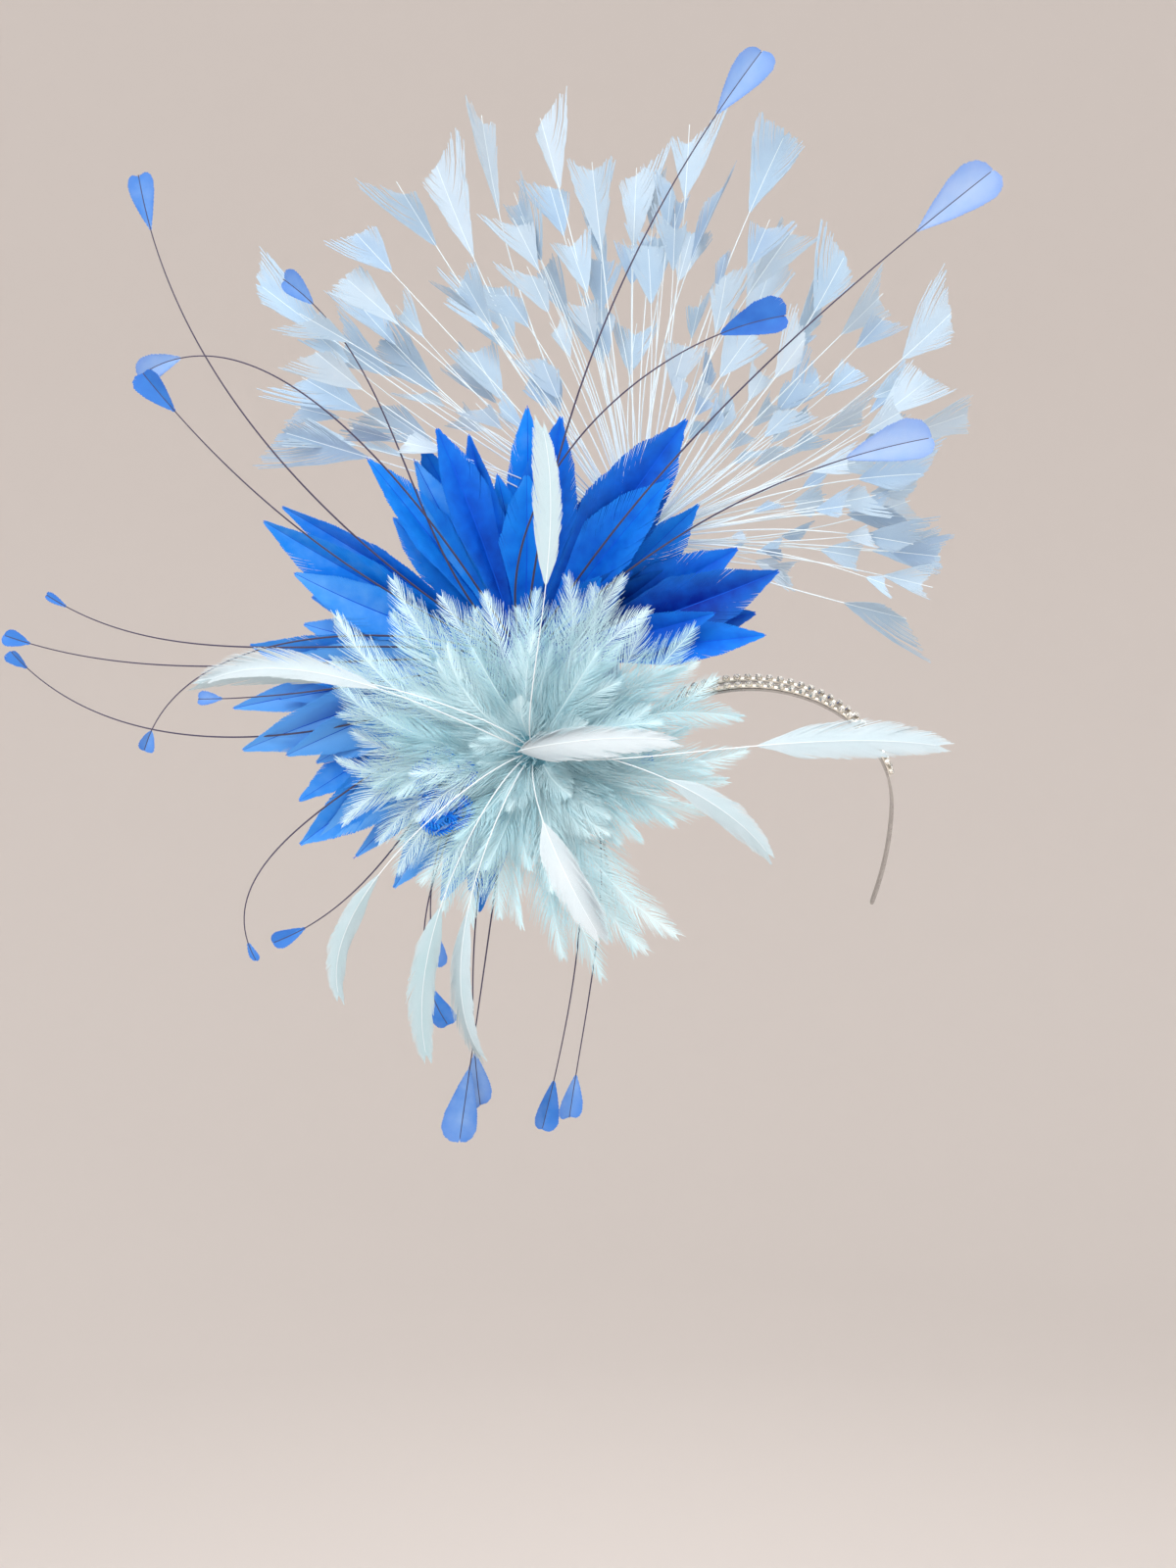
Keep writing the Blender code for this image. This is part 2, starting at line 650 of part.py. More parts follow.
def fishtail(shape, centre, angle, share, lean):
    """A stripped quill that opens into a blade whose end is cut to a V."""
    along = direction(angle, lean)
    length = SPRAY_REACH * share
    blade = length * 0.27
    root = centre + along * (SPRAY_HEAD_RADIUS * 0.6)
    tip = centre + along * length
    start = tip - along * blade
    thin, thick = FISHTAIL_QUILL_RADIUS, FISHTAIL_HALF_THICKNESS
    loft(shape, [
        diamond(root, along, FORWARD, thin, thin),
        diamond(start, along, FORWARD, thin, thin),
        diamond(start + along * (blade * 0.45), along, FORWARD, FISHTAIL_HALF_WIDTH * 0.52, thick),
        diamond(tip - along * (blade * 0.22), along, FORWARD, FISHTAIL_HALF_WIDTH, thick,
                ahead=blade * 0.22),
    ])


def build_spray(material, stalk_material):
    """The bound stalk behind the saucer, and the domed head with the fishtail feathers on it."""
    behind = -(0.5 * SAUCER_THICKNESS + GAP + STALK_RADIUS)
    foot = seated_on_saucer(STALK_OFFSET, behind)
    centre = saucer_centre() + Vector((SPRAY_SIDE, SPRAY_SETBACK, SPRAY_RISE))
    climb = (centre - foot).normalized()
    head_back = centre - climb * (SPRAY_HEAD_RADIUS / 3.0 + GAP)
    shape = bmesh.new()
    tube(shape, [foot, foot.lerp(head_back, 0.5), head_back], STALK_RADIUS)
    object_from("spray_stalk", shape, stalk_material)

    head = bmesh.new()
    domed_head(head, centre, climb, SPRAY_HEAD_RADIUS)
    spray = object_from("fishtail_spray", head, material)
    feathers = bmesh.new()
    for angle, share, lean in spray_rows():
        fishtail(feathers, centre, angle, share, lean)
    join_into(spray, object_from("spray_feathers", feathers, material), self_crossing=True)


def build_arrow(row, centre, material):
    """A bare quill with a small diamond of vane left at its tip."""
    name, leave_angle, tip_angle, share, forward, arrive_angle, blade, wide = row
    seat = centre + direction(leave_angle) * (ROYAL_FRONT_RADIUS * ARROW_SEAT_SHARE)
    clearance = 0.5 * ROYAL_DISC_THICKNESS + GAP + ARROW_QUILL_RADIUS * 1.5
    root = on_plane(seat, centre, SAUCER_FACING, clearance)
    tip = centre + direction(tip_angle) * (ARROW_REACH * share) + FORWARD * (ARROW_REACH * forward)
    leave = direction(leave_angle, 30)
    arrive = direction(arrive_angle, 4)

    def path(t):
        return cubic(root, leave, tip, arrive, t)

    length = sum((path((i + 1) / 24) - path(i / 24)).length for i in range(24))
    start = 1.0 - ARROW_BLADE_LENGTH * blade / length
    shape = bmesh.new()
    loft(shape, quill_rings(path, start, ARROW_QUILL_RADIUS, 6, FORWARD)
         + blade_rings(path, ARROW_FORM, start, ARROW_BLADE_LENGTH * wide, ARROW_HALF_THICKNESS,
                       FORWARD, ARROW_QUILL_RADIUS))
    object_from(name, shape, material)


def build_coque(row, centre, material):
    """A stripped cock feather that arches off the rosette and hooks at its tip."""
    name, leave_angle, tip_angle, share, forward, arrive_angle, blade, wide = row
    leave = direction(leave_angle, 66)
    root = centre + leave * (ROSETTE_HEAD_RADIUS + GAP + COQUE_QUILL_RADIUS)
    tip = centre + direction(tip_angle) * (COQUE_REACH * share) + FORWARD * (COQUE_REACH * forward)
    arrive = direction(arrive_angle, -8)

    def path(t):
        return cubic(root, leave, tip, arrive, t)

    start = 1.0 - blade
    shape = bmesh.new()
    loft(shape, quill_rings(path, start, COQUE_QUILL_RADIUS, 5, FORWARD)
         + blade_rings(path, COQUE_FORM, start, COQUE_HALF_WIDTH * wide, COQUE_HALF_THICKNESS,
                       FORWARD, COQUE_QUILL_RADIUS))
    object_from(name, shape, material)


def main():
    clear_scene()
    steel = make_material("band_steel", (0.42, 0.41, 0.40), 0.28, 1.0)
    crystal = make_material("crystal", (0.86, 0.86, 0.84), 0.08, 0.6)
    sinamay = make_material("sinamay", (0.56, 0.74, 0.88), 0.7)
    royal = make_material("royal_feather", (0.02, 0.16, 0.78), 0.45)
    hackle = make_material("hackle_feather", (0.45, 0.68, 0.78), 0.65)
    fishtail_blue = make_material("fishtail_feather", (0.55, 0.76, 0.95), 0.55)
    arrow_blue = make_material("arrow_feather", (0.16, 0.33, 0.85), 0.5)
    coque_white = make_material("coque_feather", (0.80, 0.87, 0.92), 0.5)

    build_headband(steel)
    build_crystal_row("crystal_row_front", -1.0, crystal)
    build_crystal_row("crystal_row_back", 1.0, crystal)
    build_saucer(sinamay)
    build_royal_ruff("royal_ruff_back", ROYAL_BACK, ROYAL_BACK_RADIUS, 0, royal)
    ruff_centre = build_royal_ruff("royal_ruff_front", ROYAL_FRONT, ROYAL_FRONT_RADIUS, 1, royal)
    rosette_centre = build_rosette(hackle)
    build_spray(fishtail_blue, sinamay)
    for row in ARROWS:
        build_arrow(row, ruff_centre, arrow_blue)
    for row in COQUES:
        build_coque(row, rosette_centre, coque_white)


main()
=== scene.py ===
# %% [markdown]
# # A feather fascinator, feather by feather
#
# A thin steel band with two rows of crystals carries a round sinamay base on the wearer's right.
# On the base sit a ruff of royal blue goose petals, a rosette of soft pale hackles, a high spray
# of stripped fishtail feathers, and loose arrow-tip and coque feathers that arch out of it all.
#
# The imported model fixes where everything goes. This lesson loads it and then dresses it: each
# plain solid is replaced by real quills and barbs that grow along the same lines.

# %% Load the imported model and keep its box
import math
import random

import bmesh
import bpy
from mathutils import Matrix, Vector


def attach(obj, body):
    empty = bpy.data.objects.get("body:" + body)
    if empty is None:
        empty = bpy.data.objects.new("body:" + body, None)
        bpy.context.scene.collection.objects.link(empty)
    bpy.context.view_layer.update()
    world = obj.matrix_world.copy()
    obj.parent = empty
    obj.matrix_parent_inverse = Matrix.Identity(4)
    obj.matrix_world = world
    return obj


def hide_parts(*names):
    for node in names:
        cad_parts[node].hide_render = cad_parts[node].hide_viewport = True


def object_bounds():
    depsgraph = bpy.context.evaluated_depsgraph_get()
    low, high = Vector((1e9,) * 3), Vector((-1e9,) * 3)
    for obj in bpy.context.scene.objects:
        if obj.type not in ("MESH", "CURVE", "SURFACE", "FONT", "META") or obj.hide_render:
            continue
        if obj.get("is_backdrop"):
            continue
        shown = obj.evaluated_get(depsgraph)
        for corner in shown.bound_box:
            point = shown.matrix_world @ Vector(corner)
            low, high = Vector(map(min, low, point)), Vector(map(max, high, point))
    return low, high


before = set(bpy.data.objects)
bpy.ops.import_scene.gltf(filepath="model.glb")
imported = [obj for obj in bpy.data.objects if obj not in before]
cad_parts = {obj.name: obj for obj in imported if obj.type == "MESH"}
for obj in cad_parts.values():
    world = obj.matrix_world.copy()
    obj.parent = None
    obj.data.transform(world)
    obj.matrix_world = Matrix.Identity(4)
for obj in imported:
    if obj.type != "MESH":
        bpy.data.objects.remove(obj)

CAD_BOX = [list(corner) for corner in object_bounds()]
BODY = "root"
print("packed nodes:", len(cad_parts))

# %% [markdown]
# ## The camera
#
# The photo was taken from in front, a little above the band, with the piece filling the upper
# part of a tall frame. The camera is set first so that every later step can be compared with
# the photo. A long lens at 1.35 m gives the same gentle perspective.

# %% Camera
EYE_TARGET = Vector((-0.079, 0.0, -0.048))
EYE_DISTANCE = 1.35
EYE_ELEVATION = math.radians(5.0)
LENS_MM = 63.3
SENSOR_MM = 36.0


def look_from(target, distance, elevation):
    """Puts a camera in front of a target and aims it there."""
    data = bpy.data.cameras.new("eye")
    data.lens = LENS_MM
    data.sensor_width = SENSOR_MM
    data.clip_start = 0.05
    made = bpy.data.objects.new("eye", data)
    bpy.context.scene.collection.objects.link(made)
    back = Vector((0.0, -math.cos(elevation), math.sin(elevation)))
    made.location = target + back * distance
    made.rotation_euler = (-back).to_track_quat("-Z", "Y").to_euler()
    bpy.context.scene.camera = made
    return made


eye = look_from(EYE_TARGET, EYE_DISTANCE, EYE_ELEVATION)
print("camera at", [round(value, 3) for value in eye.location])

# %% [markdown]
# ## The studio
#
# The floor is a wide pale dish whose rim rises all round, so it is one seamless warm grey from
# every side and no horizon cuts behind the feathers. Light comes from large soft panels: thin
# feathers need broad light from several sides, or every barb turns into a hard stripe.

# %% Floor and lights
FLOOR_Z = -1.0
FLOOR_RADIUS = 2.2
FLOOR_RIM = 1.4
WALL_TOP = 3.6
STUDIO_GREY = (0.71, 0.665, 0.64)


def studio_floor():
    """Turns one profile about the upright axis: flat, then a quarter round, then a wall."""
    profile = [(0.0, 0.0), (0.7, 0.0), (1.5, 0.0), (FLOOR_RADIUS, 0.0)]
    for i in range(1, 9):
        turn = 0.5 * math.pi * i / 8
        profile.append((FLOOR_RADIUS + FLOOR_RIM * math.sin(turn), FLOOR_RIM * (1 - math.cos(turn))))
    profile.append((FLOOR_RADIUS + FLOOR_RIM, WALL_TOP))
    shape = bmesh.new()
    line = [shape.verts.new((radius, 0.0, FLOOR_Z + rise)) for radius, rise in profile]
    edges = [shape.edges.new(pair) for pair in zip(line, line[1:])]
    bmesh.ops.spin(shape, geom=line + edges, axis=(0, 0, 1), cent=(0, 0, 0),
                   angle=2 * math.pi, steps=64, use_duplicate=False)
    bmesh.ops.remove_doubles(shape, verts=shape.verts, dist=0.0005)
    bmesh.ops.recalc_face_normals(shape, faces=shape.faces)
    mesh = bpy.data.meshes.new("studio_floor")
    shape.to_mesh(mesh)
    shape.free()
    mesh.shade_smooth()
    made = bpy.data.objects.new("studio_floor", mesh)
    bpy.context.scene.collection.objects.link(made)
    return made


def studio_paper():
    made = bpy.data.materials.new("studio_paper")
    made.use_nodes = True
    shader = made.node_tree.nodes["Principled BSDF"]
    shader.inputs["Base Color"].default_value = (*STUDIO_GREY, 1.0)
    shader.inputs["Roughness"].default_value = 0.95
    shader.inputs["Specular IOR Level"].default_value = 0.1
    return made


def soft_panel(name, place, size, watts):
    """A square area light that faces the middle of the arrangement."""
    data = bpy.data.lights.new(name, "AREA")
    data.energy = watts
    data.size = size
    lamp = bpy.data.objects.new(name, data)
    bpy.context.scene.collection.objects.link(lamp)
    lamp.location = place
    aim = EYE_TARGET - Vector(place)
    lamp.rotation_euler = aim.to_track_quat("-Z", "Y").to_euler()


floor = studio_floor()
floor.data.materials.append(studio_paper())
floor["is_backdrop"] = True
soft_panel("key_panel", (-0.8, -1.5, 1.2), 0.9, 23.0)
soft_panel("front_panel", (-0.3, -1.9, 0.1), 1.2, 11.0)
soft_panel("fill_panel", (1.5, -1.2, 0.3), 1.1, 10.0)
soft_panel("top_panel", (0.1, 0.1, 1.5), 1.0, 9.0)
soft_panel("back_panel", (0.5, 1.6, 0.7), 1.1, 7.0)
world = bpy.data.worlds.new("studio_air")
world.use_nodes = True
world.node_tree.nodes["Background"].inputs["Color"].default_value = (1.0, 0.985, 0.965, 1.0)
world.node_tree.nodes["Background"].inputs["Strength"].default_value = 0.95
bpy.context.scene.world = world
bpy.context.scene.view_settings.view_transform = "Standard"
print("studio ready")

# %% [markdown]
# ## Where things sit
#
# The band is half an ellipse over the head with an arm down to each ear, all in one plane that
# leans forward. A station is an angle along the ellipse, and past 90 it runs down the arm. The
# base touches the band at one station, and the ruff, the rosette and the spray sit on the base
# at shares of its radius. These few sizes give every centre that the feathers grow from.

# %% The band's line and the seats on the base
RIGHT = Vector((1.0, 0.0, 0.0))
FORWARD = Vector((0.0, -1.0, 0.0))
GAP = 0.0003

BAND_HALF_WIDTH = 0.072
BAND_RISE = 0.066
BAND_THICKNESS = 0.0012
BAND_TILT = math.radians(18.0)
BAND_UP = Vector((0.0, -math.sin(BAND_TILT), math.cos(BAND_TILT)))
BAND_BACK = Vector((0.0, math.cos(BAND_TILT), math.sin(BAND_TILT)))
ARM_LENGTH = 0.052
ARM_TUCK = 0.008
ARM_TIP_HALF_WIDTH = 0.0027
BAND_END_STATION = 130.0
RAIL_WIDTH = 0.0036
RAIL_OFFSET_TOP = 0.0050
RAIL_OFFSET_END = 0.0026
RAIL_JOIN_STATION = 80.0

SAUCER_STATION = -62.0
SAUCER_OUT_DEG = 151.0
SAUCER_FACING = Vector((-0.14, -0.985, 0.10)).normalized()
SAUCER_RADIUS = 0.046
SAUCER_THICKNESS = 0.0025
SADDLE_THICKNESS = 0.0025
SADDLE_HALF_WIDTH = 0.008
SADDLE_ENDS = (-75.0, -49.0)


def ray(angle, lean=0.0):
    """Unit vector at an angle in the picture plane, leaning towards the face side."""
    a, up = math.radians(angle), math.radians(lean)
    return Vector((math.cos(a) * math.cos(up), -math.sin(up), math.sin(a) * math.cos(up)))


def band_line(station):
    """Middle of the band's thickness as (right, up), measured from the ellipse's centre."""
    if abs(station) <= 90.0:
        a = math.radians(station)
        return BAND_HALF_WIDTH * math.sin(a), BAND_RISE * math.cos(a)
    arm = (abs(station) - 90.0) / (BAND_END_STATION - 90.0)
    return math.copysign(BAND_HALF_WIDTH - ARM_TUCK * arm * arm, station), -ARM_LENGTH * arm


def band_point(station, across=0.0, out=0.0):
    """Point at a station, so far across the band and so far outside its middle surface."""
    x, u = band_line(station)
    x0, u0 = band_line(station - 0.5)
    x1, u1 = band_line(station + 0.5)
    run = math.hypot(x1 - x0, u1 - u0)
    right = x - (u1 - u0) / run * out
    rise = u + (x1 - x0) / run * out - (BAND_RISE - 0.5 * BAND_THICKNESS)
    return RIGHT * right + BAND_UP * rise + BAND_BACK * across


def on_plane(point, centre, clearance=0.0):
    """Moves a point along the view until it lies so far in front of the base's plane."""
    depth = (clearance - (point - centre).dot(SAUCER_FACING)) / SAUCER_FACING.dot(FORWARD)
    return point + FORWARD * depth


SAUCER_SEAT = band_point(SAUCER_STATION, 0.0, 0.5 * (BAND_THICKNESS + SADDLE_THICKNESS) + GAP)
SAUCER_CENTRE = on_plane(SAUCER_SEAT + ray(SAUCER_OUT_DEG) * SAUCER_RADIUS, SAUCER_SEAT)


def seat(offset, clearance):
    """Point on the base at an offset in shares of its radius, so far off its middle plane."""
    return on_plane(SAUCER_CENTRE + Vector(offset) * SAUCER_RADIUS, SAUCER_CENTRE, clearance)


RUFF_DISC_THICKNESS = 0.0035
RUFF_RADII = (0.026, 0.020)  # back disc, front disc
RUFF_SEAT = (-0.11, 0.0, 0.45)
RUFF_BACK = seat(RUFF_SEAT, 0.5 * SAUCER_THICKNESS + GAP + 0.5 * RUFF_DISC_THICKNESS)
RUFF_FRONT = seat(RUFF_SEAT, 0.5 * SAUCER_THICKNESS + 2 * GAP + 1.5 * RUFF_DISC_THICKNESS)
ROSETTE_POST_RADIUS = 0.0055
ROSETTE_POST_LENGTH = 0.036
ROSETTE_HEAD_RADIUS = 0.012
ROSETTE_SEAT = (0.01, 0.0, -0.46)
ROSETTE_FOOT = seat(ROSETTE_SEAT, 0.5 * SAUCER_THICKNESS + GAP)
ROSETTE_CENTRE = ROSETTE_FOOT + FORWARD * ROSETTE_POST_LENGTH
STALK_RADIUS = 0.0045
SPRAY_HEAD_RADIUS = 0.010
SPRAY_OFFSET = Vector((0.051, 0.013, 0.080))
SPRAY_CENTRE = SAUCER_CENTRE + SPRAY_OFFSET
STALK_SEAT = (0.25, 0.0, 0.36)
STALK_FOOT = seat(STALK_SEAT, -(0.5 * SAUCER_THICKNESS + GAP + STALK_RADIUS))
for label, place in (("base", SAUCER_CENTRE), ("rosette", ROSETTE_CENTRE), ("spray", SPRAY_CENTRE)):
    print(label, "centre", [round(value, 4) for value in place])

# %% [markdown]
# ## Finishes
#
# A feather is never one colour. Dye takes more deeply in some feathers than in others, barbs
# fade towards their free ends, and the quill is paler or darker than the vane. Painted shade
# darkens the royal and hackle feathers towards their roots, where they crowd, and lies in fine
# lines along the grooves of the closed vanes. The growth tree below leaves five numbers on every
# point, and the finishes read them: tone (one per feather, which on the royals also carries
# painted light), run (how far along the feather), reach (how far out along a barb), rib (1 on
# the quill) and edge (across one barb, for grooves that are finer than the barbs themselves).

# %% Finishes
def wire(tree, kind, feeds=None, **settings):
    """Adds a node. Each input is fed by another node's socket or by a plain value."""
    made = tree.nodes.new(kind)
    for key, value in settings.items():
        setattr(made, key, value)
    for key, value in (feeds or {}).items():
        socket = made.inputs[key]
        if isinstance(value, bpy.types.NodeSocket):
            tree.links.new(value, socket)
        else:
            socket.default_value = value
    return made


def blend_colours(tree, share, first, second):
    """Mixes two colours, each of which is a socket or a plain colour."""
    mix = wire(tree, "ShaderNodeMix", data_type="RGBA")
    for socket, value in ((mix.inputs[0], share), (mix.inputs[6], first), (mix.inputs[7], second)):
        if isinstance(value, bpy.types.NodeSocket):
            tree.links.new(value, socket)
        else:
            socket.default_value = (*value, 1.0) if isinstance(value, tuple) else value
    return mix.outputs[2]


def colour_steps(tree, value, steps):
    """A colour ramp through (place, colour) steps."""
    node = wire(tree, "ShaderNodeValToRGB", {"Fac": value})
    marks = node.color_ramp.elements
    marks.remove(marks[1])
    for i, (place, colour) in enumerate(steps):
        mark = marks[0] if i == 0 else marks.new(place)
        mark.position = place
        mark.color = (*colour, 1.0)
    return node.outputs["Color"]


def sums(tree, operation, first, second=0.0, clamp=False):
    return wire(tree, "ShaderNodeMath", {0: first, 1: second},
                operation=operation, use_clamp=clamp).outputs[0]


def scaled(tree, value, low, high):
    return wire(tree, "ShaderNodeMapRange",
                {"Value": value, "To Min": low, "To Max": high}).outputs["Result"]


def left_by_growth(tree, name):
    return wire(tree, "ShaderNodeAttribute", attribute_name=name).outputs["Fac"]


def new_finish(name):
    made = bpy.data.materials.new(name)
    made.use_nodes = True
    tree = made.node_tree
    place = wire(tree, "ShaderNodeTexCoord").outputs["Object"]
    return made, tree, tree.nodes["Principled BSDF"], place


def feather_finish(name, dyes, tips, tip_share, quill, roughness=0.55, sheen=0.1, mottle=240.0,
                   root_shade=0.0, lines=0.12, shine=0.3):
    """Dye, mottling, painted shade at the roots and in fine grooves, paler barb ends, then the
    quill.
    """
    made, tree, shader, place = new_finish(name)
    cloud = wire(tree, "ShaderNodeTexNoise", {"Vector": place, "Scale": mottle, "Detail": 3.0})
    grain = scaled(tree, cloud.outputs["Fac"], -0.22, 0.22)
    # Painted shade: each feather gets darker towards its root by root_shade, so the dye sum below
    # carries painted shade as well as dye.
    depth = scaled(tree, left_by_growth(tree, "run"), -root_shade, 0.0)
    dye = sums(tree, "ADD", sums(tree, "ADD", left_by_growth(tree, "tone"), grain), depth, True)
    body = colour_steps(tree, dye, dyes)
    ends = sums(tree, "POWER", left_by_growth(tree, "reach"), 1.6)
    vane = blend_colours(tree, scaled(tree, ends, 0.0, tip_share), body, tips)
    # Painted shade: fine dark lines in the grooves along the barbs, as strong as lines says.
    stripe = sums(tree, "SINE", sums(tree, "MULTIPLY", left_by_growth(tree, "edge"), 17.0))
    painted_groove_shade = scaled(tree, stripe, lines, 0.0)
    vane = blend_colours(tree, painted_groove_shade, vane, (0.0, 0.0, 0.0))
    tree.links.new(blend_colours(tree, left_by_growth(tree, "rib"), vane, quill),
                   shader.inputs["Base Color"])
    tree.links.new(scaled(tree, cloud.outputs["Fac"], roughness - 0.1, roughness + 0.1),
                   shader.inputs["Roughness"])
    shader.inputs["Specular IOR Level"].default_value = shine
    shader.inputs["Sheen Weight"].default_value = sheen
    ridges = sums(tree, "ADD", sums(tree, "MULTIPLY", stripe, 0.4), cloud.outputs["Fac"])
    bump = wire(tree, "ShaderNodeBump", {"Height": ridges, "Strength": 0.3, "Distance": 0.0002})
    tree.links.new(bump.outputs["Normal"], shader.inputs["Normal"])
    return made


def steel_finish(name, dark, bright, roughness, grain):
    """Drawn steel: fine grain that runs one way, in tone and in roughness."""
    made, tree, shader, place = new_finish(name)
    drawn = wire(tree, "ShaderNodeMapping", {"Vector": place, "Scale": (0.15, 1.0, 0.15)})
    noise = wire(tree, "ShaderNodeTexNoise", {"Vector": drawn.outputs[0], "Scale": grain,
                                              "Detail": 4.0})
    tree.links.new(blend_colours(tree, noise.outputs["Fac"], dark, bright),
                   shader.inputs["Base Color"])
    tree.links.new(scaled(tree, noise.outputs["Fac"], roughness - 0.08, roughness + 0.12),
                   shader.inputs["Roughness"])
    shader.inputs["Metallic"].default_value = 1.0
    bump = wire(tree, "ShaderNodeBump", {"Height": noise.outputs["Fac"], "Strength": 0.15,
                                         "Distance": 0.0001})
    tree.links.new(bump.outputs["Normal"], shader.inputs["Normal"])
    return made


def crystal_finish():
    """Clear cut glass with a breath of unevenness in its polish."""
    made, tree, shader, place = new_finish("cut_crystal")
    noise = wire(tree, "ShaderNodeTexNoise", {"Vector": place, "Scale": 900.0})
    tree.links.new(blend_colours(tree, noise.outputs["Fac"], (0.90, 0.89, 0.85), (1.0, 0.99, 0.96)),
                   shader.inputs["Base Color"])
    tree.links.new(scaled(tree, noise.outputs["Fac"], 0.01, 0.06), shader.inputs["Roughness"])
    shader.inputs["Transmission Weight"].default_value = 0.85
    shader.inputs["IOR"].default_value = 1.65
    return made


def fibre_finish(name, dark, bright, grain, roughness=0.75, bump_depth=0.0003):
    """Straw, thread and felt: uneven tone, by strand and along it, and a fibrous surface."""
    made, tree, shader, place = new_finish(name)
    noise = wire(tree, "ShaderNodeTexNoise", {"Vector": place, "Scale": grain, "Detail": 5.0,
                                              "Roughness": 0.7})
    uneven = sums(tree, "ADD", sums(tree, "MULTIPLY", noise.outputs["Fac"], 0.7),
                  sums(tree, "MULTIPLY", left_by_growth(tree, "tone"), 0.4), True)
    tree.links.new(blend_colours(tree, uneven, dark, bright), shader.inputs["Base Color"])
    tree.links.new(scaled(tree, noise.outputs["Fac"], roughness - 0.1, roughness + 0.15),
                   shader.inputs["Roughness"])
    shader.inputs["Sheen Weight"].default_value = 0.15
    bump = wire(tree, "ShaderNodeBump", {"Height": noise.outputs["Fac"], "Strength": 0.5,
                                         "Distance": bump_depth})
    tree.links.new(bump.outputs["Normal"], shader.inputs["Normal"])
    return made


# root_shade paints shade towards the roots, and lines paints shade in the grooves along the barbs.
ROYAL = feather_finish(
    "royal_goose", ((0.0, (0.0, 0.016, 0.30)), (0.3, (0.0, 0.10, 0.66)),
                    (0.6, (0.004, 0.23, 0.88)), (1.0, (0.15, 0.44, 0.95))),
    (0.02, 0.30, 0.92), 0.35, (0.004, 0.10, 0.66), roughness=0.5, sheen=0.0, mottle=130.0,
    root_shade=0.22, lines=0.10, shine=0.15)
HACKLE = feather_finish(
    "aqua_hackle", ((0.0, (0.10, 0.36, 0.47)), (0.3, (0.43, 0.70, 0.78)),
                    (0.6, (0.62, 0.84, 0.90)), (1.0, (0.72, 0.89, 0.93))),
    (0.60, 0.81, 0.87), 0.3, (0.72, 0.88, 0.92), roughness=0.7, root_shade=0.24, mottle=60.0,
    lines=0.0)
FISHTAIL = feather_finish(
    "sky_fishtail", ((0.0, (0.33, 0.48, 0.68)), (0.35, (0.41, 0.57, 0.73)),
                     (0.7, (0.48, 0.62, 0.75)), (1.0, (0.56, 0.67, 0.77))),
    (0.54, 0.66, 0.76), 0.4, (0.72, 0.82, 0.87), mottle=90.0)
ARROW = feather_finish(
    "cornflower_arrow", ((0.0, (0.006, 0.10, 0.48)), (0.35, (0.04, 0.22, 0.68)),
                         (0.7, (0.25, 0.42, 0.76)), (1.0, (0.36, 0.49, 0.75))),
    (0.03, 0.16, 0.62), 0.45, (0.055, 0.045, 0.09), roughness=0.5, mottle=110.0)
COQUE = feather_finish(
    "bleached_coque", ((0.0, (0.46, 0.64, 0.69)), (0.5, (0.56, 0.68, 0.74)),
                       (1.0, (0.68, 0.73, 0.76))),
    (0.66, 0.74, 0.78), 0.4, (0.74, 0.80, 0.83), roughness=0.42, mottle=80.0, lines=0.2)
STEEL = steel_finish("band_steel_drawn", (0.30, 0.29, 0.28), (0.50, 0.48, 0.46), 0.26, 700.0)
SILVER = steel_finish("cup_silver", (0.62, 0.59, 0.52), (0.86, 0.83, 0.76), 0.18, 1500.0)
CRYSTAL = crystal_finish()
STRAW = fibre_finish("sinamay_straw", (0.34, 0.54, 0.74), (0.68, 0.83, 0.93), 900.0)
FELT = fibre_finish("royal_felt", (0.0, 0.03, 0.30), (0.01, 0.10, 0.60), 1200.0, 0.85)
SILK = fibre_finish("aqua_silk", (0.40, 0.62, 0.72), (0.68, 0.86, 0.90), 2200.0, 0.5, 0.0001)
TEAL_SILK = fibre_finish("teal_silk", (0.05, 0.20, 0.28), (0.16, 0.40, 0.48), 2200.0, 0.5, 0.0001)
print("finishes:", len(bpy.data.materials))

# %% [markdown]
# ## How a feather grows
#
# Every feather here is the same thing: a quill with two rows of barbs that lean towards the tip.
# Only the numbers differ. So one Geometry Nodes tree grows them all. It is fed with spines, thin
# polylines that carry the feather's numbers on their points. It skins each spine with a quill,
# steps along it at the barb spacing, sets a pair of barbs at each step, and bends every barb
# outwards and forwards. Random splay and soft clumps keep it from looking combed by a machine.
#
# The barbs could be hair, but hair has no mesh, and the model has to be one closed surface per
# barb. Three-sided slivers in three segments cost 20 triangles each and still catch light like a
# real barb. They lie in the plane of their half of the vane, so a folded feather shows one light
# half and one dark half.

# %% The growth tree
SHORTEST_BARB = 0.0006
GROWTH_SIZES = {  # input: kind of socket, value before a feather sets its own
    "Barb Spacing": ("NodeSocketFloat", 0.001),
    "Barb Width": ("NodeSocketFloat", 0.0007),
    "Barb Thickness": ("NodeSocketFloat", 0.00018),
    "Barb Segments": ("NodeSocketInt", 3),
    "Taper": ("NodeSocketFloat", 0.6),
    "Shingle": ("NodeSocketFloat", 0.15),
    "Ragged": ("NodeSocketFloat", 0.05),
    "Splay": ("NodeSocketFloat", 0.03),
    "Clumping": ("NodeSocketFloat", 0.1),
    "Clump Scale": ("NodeSocketFloat", 90.0),
    "Fold": ("NodeSocketFloat", 0.0),
    "Lift": ("NodeSocketFloat", 0.0),
    "Fluff": ("NodeSocketFloat", 0.0),
    "Quill Sides": ("NodeSocketInt", 5),
    "Quill Step": ("NodeSocketFloat", 0.004),
    "Seed": ("NodeSocketInt", 1),
    "Finish": ("NodeSocketMaterial", None),
}


